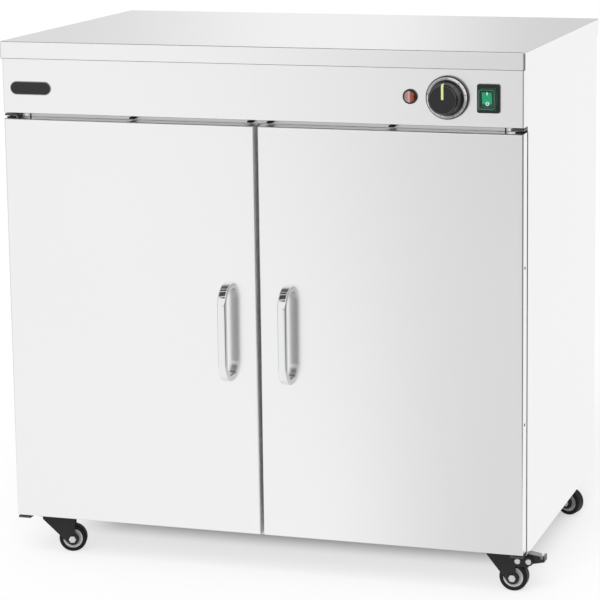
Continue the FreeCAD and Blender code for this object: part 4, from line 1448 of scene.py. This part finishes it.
@dataclass
class Controls:
    """Thermostat dial, pilot lamp and rocker switch."""

    skirt_profile: Profile = (
        (0.0, 0.0),
        (23.1, 0.0),
        (23.5, 0.4),
        (23.5, 2.4),
        (23.2, 2.9),
        (22.5, 3.3),
        (21.7, 5.0),
        (21.1, 8.0),
        (20.7, 12.0),
        (20.45, 16.0),
        (20.25, 19.0),
        (20.0, 20.6),
        (19.6, 21.5),
        (19.0, 22.0),
        (18.3, 22.1),
        (18.2, 21.6),
        (0.0, 21.6),
    )
    face_profile: Profile = (
        (0.0, 21.5),
        (18.0, 21.5),
        (18.0, 22.1),
        (17.6, 22.45),
        (17.0, 22.5),
        (0.0, 22.5),
    )
    lip_profile: Profile = (
        (18.1, 21.8),
        (18.45, 21.8),
        (18.5, 22.15),
        (18.35, 22.3),
        (18.2, 22.3),
        (18.05, 22.15),
    )
    pointer_path: tuple[tuple[float, float, float], ...] = (
        (0.0, 22.6, 0.5),
        (0.5, 22.65, 0.85),
        (1.2, 22.65, 1.0),
        (17.2, 22.65, 1.0),
        (18.6, 22.45, 1.0),
        (19.5, 21.95, 1.0),
        (20.15, 21.1, 1.0),
        (20.5, 19.5, 1.0),
        (20.7, 17.0, 1.0),
        (20.9, 15.0, 0.8),
    )
    ring_profile: Profile = (
        (23.9, -0.2),
        (27.5, -0.2),
        (27.6, 0.1),
        (27.4, 0.32),
        (24.1, 0.4),
        (23.9, 0.3),
    )
    dial_facets: int = 96
    dial_sharp_deg: float = 40.0
    pointer_width: float = 3.2 * MM
    pointer_sink: float = 0.6 * MM
    mark_rise: float = 0.42 * MM
    tick_count: int = 15
    tick_radius: float = 26.8 * MM
    tick_length: float = 1.1 * MM
    tick_width: float = 0.5 * MM
    tick_thickness: float = 0.1 * MM
    dial_sweep_deg: float = 280.0
    numeral_radius: float = 25.3 * MM
    numeral_height: float = 2.4 * MM
    dial_numerals: tuple[str, ...] = ("0", "30", "40", "50", "60", "70", "80", "90")
    mark_thickness: float = 0.12 * MM
    bar_width: float = 1.5 * MM
    bar_height: float = 4.6 * MM
    bar_corner_share: float = 0.3
    bar_corner_steps: int = 3
    bar_offset: float = 8.7 * MM
    ring_radius: float = 2.5 * MM
    ring_inner_radius: float = 1.4 * MM
    ring_facets: int = 32
    ring_offset: float = 5.4 * MM
    rocker_rest_deg: float = 8.0
    rocker_half_height: float = 11.0 * MM
    rocker_middle: float = 5.0 * MM
    rocker_tip: float = 7.0 * MM
    cover_rim_inset: float = 1.9 * MM
    cover_rim_radius: float = 3.0 * MM
    cover_rim_steps: int = 8
    cover_rim_half: float = 0.3 * MM
    cover_rim_rise: float = 0.12 * MM

    def dress(self) -> None:
        """Gives the bought-in parts their finishes."""
        dress_nodes(BLACK_PLASTIC, ["dial_bezel", "pilot_lamp_housing", "switch_housing"])
        dress_nodes(ZINC, ["thermostat_spindle"])
        dress_nodes(AMBER, ["pilot_lamp_lens"])
        dress_nodes(CLEAR, ["switch_cover"])
        dress_nodes(GREEN_PLASTIC, ["switch_rocker"])

    def dial_centre(self) -> Vector:
        """The middle of the dial, on the front face of its bezel."""
        low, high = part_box("dial_bezel")
        return Vector(((low.x + high.x) / 2, low.y, (low.z + high.z) / 2))

    def turned(self, name: str, base: Vector, profile: Profile, finish: Finish) -> bpy.types.Object:
        """Turns one round piece of the dial.

        Args:
            name: the piece's name.
            base: the point on the axis that the profile starts from.
            profile: radius and distance to the front, in millimetres.
            finish: its finish.

        Returns:
            The piece.
        """
        bm = bmesh.new()
        lathe(bm, base, [(radius * MM, out * MM) for radius, out in profile], self.dial_facets)
        return piece_from(name, bm, finish, self.dial_sharp_deg)

    def knob(self) -> None:
        """Turns the knob's scooped skirt, its flat face and the narrow lip round the face, whose pale plating
        is partly a painted highlight.
        """
        base = self.dial_centre()
        base.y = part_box("thermostat_knob")[1].y
        skirt = self.turned("knob_skirt", base, self.skirt_profile, KNOB_SKIRT)
        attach(skirt, "knob")
        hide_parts("thermostat_knob")
        face = self.turned("knob_face", base, self.face_profile, KNOB_FACE)
        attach(face, "knob")
        lip = self.turned("knob_lip", base, self.lip_profile, KNOB_LIP)
        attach(lip, "knob")

    def ring(self) -> bpy.types.Object:
        """Lays the silver scale ring on the bezel.

        Returns:
            The piece.
        """
        made = self.turned("dial_ring", self.dial_centre(), self.ring_profile, DIAL_SILVER)
        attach(made, "cabinet")
        return made

    def pointer(self) -> bpy.types.Object:
        """Runs the pale pointer line over the knob's face and down its skirt.

        Returns:
            The piece.
        """
        base = self.dial_centre()
        base.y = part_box("thermostat_knob")[1].y
        rings = []
        for radius, out, share in self.pointer_path:
            half = self.pointer_width / 2 * share
            height = base.z + radius * MM
            front = base.y - out * MM
            sunk = front + self.pointer_sink
            top = [Vector((base.x + s * half, front, height)) for s in (-1, 1)]
            bottom = [Vector((base.x + s * half, sunk, height - self.pointer_sink)) for s in (1, -1)]
            rings.append(top + bottom)
        bm = bmesh.new()
        bridge_rings(bm, rings)
        made = piece_from("dial_pointer", bm, POINTER_INK)
        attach(made, "knob")
        return made

    def ticks(self) -> bpy.types.Object:
        """Prints the scale marks on the ring.

        Returns:
            The piece.
        """
        repeat = RepeatTree("dial_ticks")
        graph = repeat.graph
        count = repeat.count("Count", self.tick_count)
        radius = repeat.size("Radius", self.tick_radius)
        sweep = repeat.size("Sweep", math.radians(self.dial_sweep_deg))
        points = graph.out(graph.node("GeometryNodePoints", None, {"Count": count}))
        index = graph.out(graph.node("GeometryNodeInputIndex"))
        angle = index * sweep / (count - 1)
        sine = angle.maths("SINE", angle, 0.0)
        cosine = angle.maths("COSINE", angle, 0.0)
        spot = graph.out(graph.node("ShaderNodeCombineXYZ", None, {0: sine * radius, 2: cosine * radius}))
        values = {"Geometry": points, "Position": spot}
        placed = graph.out(graph.node("GeometryNodeSetPosition", None, values))
        size = graph.node(
            "ShaderNodeCombineXYZ",
            None,
            {
                0: repeat.size("Width", self.tick_width),
                1: repeat.size("Thickness", self.tick_thickness),
                2: repeat.size("Length", self.tick_length),
            },
        )
        bar = graph.out(graph.node("GeometryNodeMeshCube", None, {"Size": graph.out(size)}))
        turn = graph.out(graph.node("ShaderNodeCombineXYZ", None, {1: angle}))
        values = {"Points": placed, "Instance": bar, "Rotation": turn}
        spread = graph.out(graph.node("GeometryNodeInstanceOnPoints", None, values))
        centre = self.dial_centre() - Vector((0.0, self.mark_rise, 0.0))
        made = repeat.build("dial_ticks", repeat.place(spread, centre, Facing.UP), DARK_INK)
        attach(made, "cabinet")
        return made

    def numerals(self) -> None:
        """Prints plain temperature numbers round the ring."""
        centre = self.dial_centre() - Vector((0.0, self.mark_rise, 0.0))
        step = math.radians(self.dial_sweep_deg) / (len(self.dial_numerals) - 1)
        for i, text in enumerate(self.dial_numerals):
            angle = step * i
            curve = bpy.data.curves.new("numeral_" + text, "FONT")
            curve.body = text
            curve.size = self.numeral_height
            curve.align_x = "CENTER"
            curve.align_y = "CENTER"
            curve.extrude = self.mark_thickness / 2
            holder = bpy.data.objects.new("numeral_" + text, curve)
            bpy.context.scene.collection.objects.link(holder)
            depsgraph = bpy.context.evaluated_depsgraph_get()
            mesh = bpy.data.meshes.new_from_object(holder.evaluated_get(depsgraph))
            bpy.data.objects.remove(holder)
            upright = Matrix.Rotation(math.pi / 2, 4, "X")
            spin = Matrix.Rotation(angle, 4, "Y")
            outward = Vector((math.sin(angle), 0.0, math.cos(angle))) * self.numeral_radius
            mesh.transform(Matrix.Translation(centre + outward) @ spin @ upright)
            made = finished("dial_numeral_" + text, mesh, DARK_INK)
            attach(made, "cabinet")

    def switch_marks(self) -> None:
        """Prints the bar and the ring on the two halves of the rocker."""
        joint = next(j for j in frame["joints"] if j["name"] == "switch_rock")
        pivot = Vector(joint["pos_m"])
        tilt = math.radians(self.rocker_rest_deg)
        slope = math.atan2(self.rocker_tip - self.rocker_middle, self.rocker_half_height)
        marks = (("switch_bar", 1.0, self.bar_offset), ("switch_ring", -1.0, self.ring_offset))
        for name, sign, offset in marks:
            out = self.rocker_middle + offset * math.tan(slope)
            bm = bmesh.new()
            if sign > 0:
                radius = self.bar_width * self.bar_corner_share
                outline = rounded_outline(self.bar_width, self.bar_height, radius, self.bar_corner_steps)
                depths = (-self.mark_thickness, self.mark_thickness)
                bridge_rings(bm, [[Vector((u, -depth, v)) for u, v in outline] for depth in depths])
            else:
                profile = [
                    (self.ring_inner_radius, -self.mark_thickness),
                    (self.ring_radius, -self.mark_thickness),
                    (self.ring_radius, self.mark_thickness),
                    (self.ring_inner_radius, self.mark_thickness),
                ]
                lathe(bm, Vector((0.0, 0.0, 0.0)), profile, self.ring_facets)
            lean = Matrix.Rotation(sign * slope, 4, "X")
            lift = Matrix.Translation(Vector((0.0, -out, sign * offset)))
            swing = Matrix.Rotation(tilt, 4, "X")
            bm.transform(Matrix.Translation(pivot) @ swing @ lift @ lean)
            made = piece_from(name, bm, WHITE_INK)
            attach(made, "rocker")

    def cover_rim(self) -> bpy.types.Object:
        """Runs a thin rim round the front of the switch's cover; its pale colour is a painted highlight along
        the cover's edges.

        Returns:
            The piece.
        """
        low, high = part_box("switch_cover")
        centre = Vector(((low.x + high.x) / 2, low.y, (low.z + high.z) / 2))
        rings = []
        for inset, out in ((-1, -1), (-1, 1), (1, 1), (1, -1)):
            edge = self.cover_rim_inset + inset * self.cover_rim_half
            radius = self.cover_rim_radius - inset * self.cover_rim_half
            width = high.x - low.x - 2 * edge
            height = high.z - low.z - 2 * edge
            outline = rounded_outline(width, height, radius, self.cover_rim_steps)
            rings.append([centre + Vector((u, -out * self.cover_rim_rise, v)) for u, v in outline])
        bm = bmesh.new()
        bridge_rings(bm, rings + rings[:1], cap=False)
        # The pale rim stands for the highlight along the cover's edges, painted in.
        made = piece_from("switch_cover_rim", bm, COVER_HIGHLIGHT_RIM)
        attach(made, "cabinet")
        return made

    def build(self) -> None:
        """Dresses the controls and prints their marks."""
        self.dress()
        self.knob()
        self.ring()
        self.pointer()
        self.ticks()
        self.numerals()
        self.switch_marks()
        self.cover_rim()
        LOG.info("controls dressed")


@dataclass
class Caster:
    """One swivel caster with its dished wheel."""

    corner: str
    braked: bool
    axle_cap_out: float = 15.5 * MM
    rivet_cap_out: float = 13.3 * MM
    spacer_back: float = 15.4 * MM
    spacer_drop: float = 0.4 * MM
    axle_cap: Profile = (
        (0.0, -0.3),
        (4.4, -0.3),
        (4.4, 0.05),
        (3.9, 0.4),
        (2.4, 0.55),
        (1.7, 0.5),
        (1.2, 0.15),
        (0.0, 0.05),
    )
    rivet_cap: Profile = (
        (0.0, -0.3),
        (3.9, -0.3),
        (3.8, 0.1),
        (3.2, 0.55),
        (2.0, 0.9),
        (1.0, 1.0),
        (0.0, 0.9),
    )
    tread_path: Profile = (
        (-0.8, 9.78),
        (7.0, 8.57),
        (14.5, 7.42),
        (15.85, 3.72),
        (18.9, 3.72),
        (18.9, 7.5),
        (19.2, 7.7),
        (21.3, 7.7),
    )
    cap_facets: int = 32
    cap_sharp_deg: float = 50.0
    tread_half: float = 7.4 * MM
    tread_thickness: float = 0.3 * MM
    tread_sink_share: float = 0.3
    tread_sharp_deg: float = 25.0

    def joint(self, kind: str) -> dict[str, Any]:
        """One of the caster's joints, by the end of its name."""
        return next(j for j in frame["joints"] if j["name"] == self.corner + "_" + kind)

    def caps(self) -> bpy.types.Object:
        """Puts the dimpled faces on the axle bolt and the domed heads on the rivets.

        Returns:
            The piece.
        """
        roll = self.joint("wheel_roll")
        axle = Vector(roll["pos_m"])
        axis = Vector(roll["axis"]).normalized()
        spots = [(axle, self.axle_cap_out, self.axle_cap)]
        if self.braked:
            pivot = Vector(self.joint("brake_press")["pos_m"])
            way = math.copysign(1.0, pivot.x)
            spacer = pivot - Vector((way * self.spacer_back, 0.0, self.spacer_drop))
            spots += [(spot, self.rivet_cap_out, self.rivet_cap) for spot in (pivot, spacer)]
        bm = bmesh.new()
        for spot, out, profile in spots:
            for side in (-1.0, 1.0):
                cap = bmesh.new()
                outline = [(radius * MM, rise * MM) for radius, rise in profile]
                lathe(cap, Vector((0.0, 0.0, 0.0)), outline, self.cap_facets)
                turn = Vector((0.0, -1.0, 0.0)).rotation_difference(axis * side).to_matrix().to_4x4()
                cap.transform(Matrix.Translation(spot + axis * side * out) @ turn)
                scratch = bpy.data.meshes.new("cap")
                cap.to_mesh(scratch)
                cap.free()
                bm.from_mesh(scratch)
                bpy.data.meshes.remove(scratch)
        made = piece_from(self.corner + "_bolt_caps", bm, ZINC, self.cap_sharp_deg)
        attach(made, self.corner + "_swivel")
        return made

    def tread(self) -> bpy.types.Object:
        """Lays the plated tread along the top of the brake lever.

        Returns:
            The piece.
        """
        pivot = Vector(self.joint("brake_press")["pos_m"])
        way = math.copysign(1.0, pivot.x)
        points = [Vector((u, w)) * MM for u, w in self.tread_path]
        rings = []
        for i, point in enumerate(points):
            before = points[max(i - 1, 0)]
            after = points[min(i + 1, len(points) - 1)]
            along = (after - before).normalized()
            up = Vector((-along.y, along.x)) * self.tread_thickness
            sunk = point - up * self.tread_sink_share
            corners = [(sunk, -1), (point + up, -1), (point + up, 1), (sunk, 1)]
            rings.append([pivot + Vector((way * p.x, s * self.tread_half, p.y)) for p, s in corners])
        bm = bmesh.new()
        bridge_rings(bm, rings)
        made = piece_from(self.corner + "_brake_tread", bm, TREAD_ZINC, self.tread_sharp_deg)
        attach(made, self.corner + "_brake")
        return made

    def build(self) -> None:
        """Gives the caster's parts their finishes and adds its small hardware."""
        dress_nodes(BLACK_COAT, [self.corner + "_fork"])
        dress_nodes(ZINC, [self.corner + "_bolts"])
        dress_nodes(HUB_GREY, [self.corner + "_hub"])
        dress_nodes(TYRE, [self.corner + "_tyre"])
        if self.braked:
            dress_nodes(BLACK_COAT, [self.corner + "_brake_lever"])
            self.tread()
        self.caps()
        LOG.info("%s caster dressed", self.corner)


@dataclass(frozen=True)
class FloorTones:
    """Where the floor is toned down in a mirror, and where it shows the cabinet's shadow.

    A span is in metres: its tone starts at the first number and is whole at the second.
    """

    front: Span = (-0.25, -0.2)
    door_line: float = -0.23
    view_slope: float = 0.31
    right: Span = (0.06, 0.36)
    right_dark: float = 0.25
    far: Span = (2.5, 5.0)
    far_dark: float = 0.13
    left: Span = (0.45, 0.9)
    left_slope: float = 0.3
    left_dark: float = 0.4
    side_line: float = 0.37
    side_front: float = -0.2
    side_slope: float = 0.6
    beside: Span = (0.25, 0.8)
    beside_aslant: Span = (0.1, 0.6)
    beside_dark: float = 0.85
    under_side: Span = (0.3, 0.4)
    under_depth: Span = (0.18, 0.27)
    under_middle: float = 0.025
    under_dark: float = 0.6
    shadow_side: Span = (0.28, 0.37)
    shadow_front: Span = (-0.1, -0.01)
    shadow_back: Span = (0.25, 0.33)

    def mirror(self, x: Wire, y: Wire) -> Wire:
        """The brightness of the floor in a mirror.

        Args:
            x: the place across the cabinet.
            y: the place along its depth.

        Returns:
            1 for a bright place, and less for a toned one.
        """
        front = 1 - y.above(*self.front)
        across = x - (y - self.door_line) * self.view_slope
        right = across.above(*self.right) * ((0.0 - y).above(*self.far) * self.far_dark + self.right_dark)
        left = (y * self.left_slope - across).above(*self.left) * self.left_dark
        out = x - self.side_line
        aslant = out - (y - self.side_front) * self.side_slope
        beside = out.above(*self.beside) * aslant.above(*self.beside_aslant)
        within = 1 - (y - self.under_middle).size().above(*self.under_depth)
        under = (1 - x.size().above(*self.under_side)) * within
        toned = (1 - front * (right + left)) * (1 - beside * self.beside_dark)
        return toned * (1 - under * self.under_dark)

    def shadow(self, x: Wire, y: Wire) -> Wire:
        """The part of the floor under the cabinet that keeps a full shadow.

        Args:
            x: the place across the cabinet.
            y: the place along its depth.

        Returns:
            1 in the shadow and 0 outside it.
        """
        across = 1 - x.size().above(*self.shadow_side)
        return across * y.above(*self.shadow_front) * (1 - y.above(*self.shadow_back))


@dataclass(frozen=True)
class RoomTones:
    """Where the room is toned down in a mirror, by the direction of the ray.

    A span is in parts of the direction: its tone starts at the first number and is whole at the second.
    """

    ceiling: Span = (0.55, 0.63)
    ceiling_side: Span = (0.4, 0.6)
    ceiling_back: Span = (0.05, 0.25)
    ceiling_back_share: float = 0.35
    ceiling_dark: float = 0.92
    stripe_pitch: float = 12.8
    stripe_start: float = 3.49
    stripe: Span = (0.8, 0.95)
    stripe_share: float = 0.8
    right: Span = (0.4, 0.62)
    right_back: Span = (0.6, 0.85)
    right_top: Span = (0.08, 0.2)
    right_dark: float = 0.85
    left: Span = (0.6, 0.85)
    left_dark: float = 0.3
    back: Span = (0.3, 0.9)
    back_dark: float = 0.04
    back_left: Span = (0.31, 0.4)
    back_left_dark: float = 0.2
    back_right: Span = (-0.28, -0.21)
    back_right_dark: float = 0.27

    def mirror(self, x: Wire, y: Wire, z: Wire) -> Wire:
        """The brightness of the room in a mirror.

        Args:
            x: the ray's part along +X.
            y: its part along +Y.
            z: its part along +Z.

        Returns:
            1 for a bright direction, and less for a toned one.
        """
        within = 1 - x.size().above(*self.ceiling_side)
        paler = 1 - y.above(*self.ceiling_back) * self.ceiling_back_share
        overhead = z.above(*self.ceiling) * within * paler
        stripes = y.maths("SINE", y * self.stripe_pitch + self.stripe_start, 0.0).above(*self.stripe)
        dark = overhead * (1 - stripes * self.stripe_share) * self.ceiling_dark
        wall = x.above(*self.right) * (1 - y.above(*self.right_back))
        right = wall * (1 - z.above(*self.right_top)) * self.right_dark
        left = (0.0 - x).above(*self.left) * self.left_dark
        far_left = (0.0 - x).above(*self.back_left) * self.back_left_dark
        far_right = x.above(*self.back_right) * self.back_right_dark
        behind = y.above(*self.back) * (self.back_dark + (far_left + far_right))
        return (1.0 - dark) * (1.0 - right) * (1.0 - left) * (1.0 - behind)


@dataclass
class Studio:
    """Floor, lights, surroundings and the camera at the photograph's angle."""

    floor_tones: FloorTones = FloorTones()
    room_tones: RoomTones = RoomTones()
    floor_reach: float = 40.0
    floor_white: float = 0.97
    floor_seen_share: float = 0.68
    floor_shadow_share: float = 0.85
    floor_mirror_share: float = 0.9
    frame_pixels: float = 600.0
    sensor_mm: float = 36.0
    focal_pixels: float = 2456.65
    centre_pixel: Span = (345.0, 225.0)
    place: Point = (1.09137, -3.35199, 1.09116)
    yaw: float = 0.2999
    pitch: float = 0.1758
    roll: float = -0.0104
    clip_end: float = 100.0
    key_strength: float = 2.05
    key_from: Point = (0.1, -0.9, 0.85)
    key_angle_deg: float = 40.0
    sky_strength: float = 0.62

    def seen(self, graph: NodeGraph) -> Wire:
        """Tells the rays that show a thing from those that only light it.

        Args:
            graph: the graph of a material or the world.

        Returns:
            1 for rays from the camera, a mirror or a clear piece, and 0 for light.
        """
        path = graph.node("ShaderNodeLightPath")
        camera = graph.out(path, "Is Camera Ray")
        glossy = graph.out(path, "Is Glossy Ray")
        through = graph.out(path, "Is Transmission Ray")
        return camera.maths("MAXIMUM", camera, glossy.maths("MAXIMUM", glossy, through))

    def floor(self) -> None:
        """Lays a plain pale floor that keeps the object's shadow."""
        bm = bmesh.new()
        r = self.floor_reach
        bm.faces.new([bm.verts.new((x, y, 0.0)) for x, y in ((-r, -r), (r, -r), (r, r), (-r, r))])
        mesh = bpy.data.meshes.new("floor")
        bm.to_mesh(mesh)
        bm.free()
        made = bpy.data.objects.new("floor", mesh)
        bpy.context.scene.collection.objects.link(made)
        material = bpy.data.materials.new("floor_white")
        material.use_nodes = True
        material.node_tree.nodes.clear()
        graph = NodeGraph(material.node_tree)
        white = (self.floor_white, self.floor_white, self.floor_white, 1.0)
        matt = graph.out(graph.node("ShaderNodeBsdfDiffuse", None, {"Color": white}))
        x, y, _ = graph.split(graph.out(graph.node("ShaderNodeTexCoord"), "Object"))
        glossy = graph.out(graph.node("ShaderNodeLightPath"), "Is Glossy Ray")
        strength = 1 - glossy * (1 - self.floor_tones.mirror(x, y))
        glow = graph.out(graph.node("ShaderNodeEmission", None, {"Strength": strength}))
        shadow = self.floor_tones.shadow(x, y)
        seen_share = self.seen(graph) * (1 - shadow * self.floor_shadow_share) * self.floor_seen_share
        share = seen_share + glossy * (self.floor_mirror_share - self.floor_seen_share)
        mixed = graph.out(graph.node("ShaderNodeMixShader", None, {0: share, 1: matt, 2: glow}))
        graph.node("ShaderNodeOutputMaterial", None, {"Surface": mixed})
        mesh.materials.append(material)

    def surroundings(self) -> None:
        """Makes a bright studio for mirrors and a plain soft sky for light."""
        world = bpy.data.worlds.new("studio")
        bpy.context.scene.world = world
        world.use_nodes = True
        world.node_tree.nodes.clear()
        graph = NodeGraph(world.node_tree)
        x, y, z = graph.split(graph.out(graph.node("ShaderNodeTexCoord"), "Generated"))
        mirror = self.room_tones.mirror(x, y, z)
        camera = graph.out(graph.node("ShaderNodeLightPath"), "Is Camera Ray")
        seen = self.seen(graph)
        strength = seen * mirror + (1.0 - seen) * self.sky_strength
        strength = camera + (1.0 - camera) * strength
        values = {"Color": WHITE, "Strength": strength}
        background = graph.out(graph.node("ShaderNodeBackground", None, values))
        graph.node("ShaderNodeOutputWorld", None, {"Surface": background})

    def lamp(self) -> None:
        """Hangs one broad soft lamp in front and above, which doesn't show in the metal."""
        data = bpy.data.lights.new("key", "SUN")
        data.energy = self.key_strength
        data.angle = math.radians(self.key_angle_deg)
        made = bpy.data.objects.new("key", data)
        made.rotation_mode = "QUATERNION"
        made.rotation_quaternion = (-Vector(self.key_from)).to_track_quat("-Z", "Y")
        made.visible_glossy = False
        bpy.context.scene.collection.objects.link(made)

    def camera(self) -> None:
        """Sets the camera where the photograph was taken from."""
        forward = Vector((-math.sin(self.yaw), math.cos(self.yaw), 0.0))
        right = Vector((math.cos(self.yaw), math.sin(self.yaw), 0.0))
        up = Vector((0.0, 0.0, 1.0))
        ahead = math.cos(self.pitch) * forward - math.sin(self.pitch) * up
        over = math.cos(self.pitch) * up + math.sin(self.pitch) * forward
        side = math.cos(self.roll) * right + math.sin(self.roll) * over
        top = -math.sin(self.roll) * right + math.cos(self.roll) * over
        turn = Matrix((side, top, -ahead)).transposed().to_4x4()
        data = bpy.data.cameras.new("photo_camera")
        data.sensor_width = self.sensor_mm
        data.lens = self.focal_pixels / self.frame_pixels * self.sensor_mm
        data.shift_x = (self.frame_pixels / 2 - self.centre_pixel[0]) / self.frame_pixels
        data.shift_y = (self.centre_pixel[1] - self.frame_pixels / 2) / self.frame_pixels
        data.clip_end = self.clip_end
        made = bpy.data.objects.new("photo_camera", data)
        made.matrix_world = Matrix.Translation(Vector(self.place)) @ turn
        bpy.context.scene.collection.objects.link(made)
        bpy.context.scene.camera = made

    def build(self) -> None:
        """Sets the whole studio."""
        bpy.context.scene.view_settings.view_transform = "Standard"
        self.floor()
        self.surroundings()
        self.lamp()
        self.camera()
        LOG.info("studio ready")


def main() -> None:
    """Builds every sub-assembly in order."""
    logging.basicConfig(level=logging.INFO, format="%(message)s")
    Cabinet().build()
    Chamber().build()
    for side in ("left", "right"):
        Door(side).build()
    Controls().build()
    for corner in ("front_left", "front_right", "rear_left", "rear_right"):
        Caster(corner, corner in BRAKED).build()
    Studio().build()


if __name__ == "__main__":
    main()
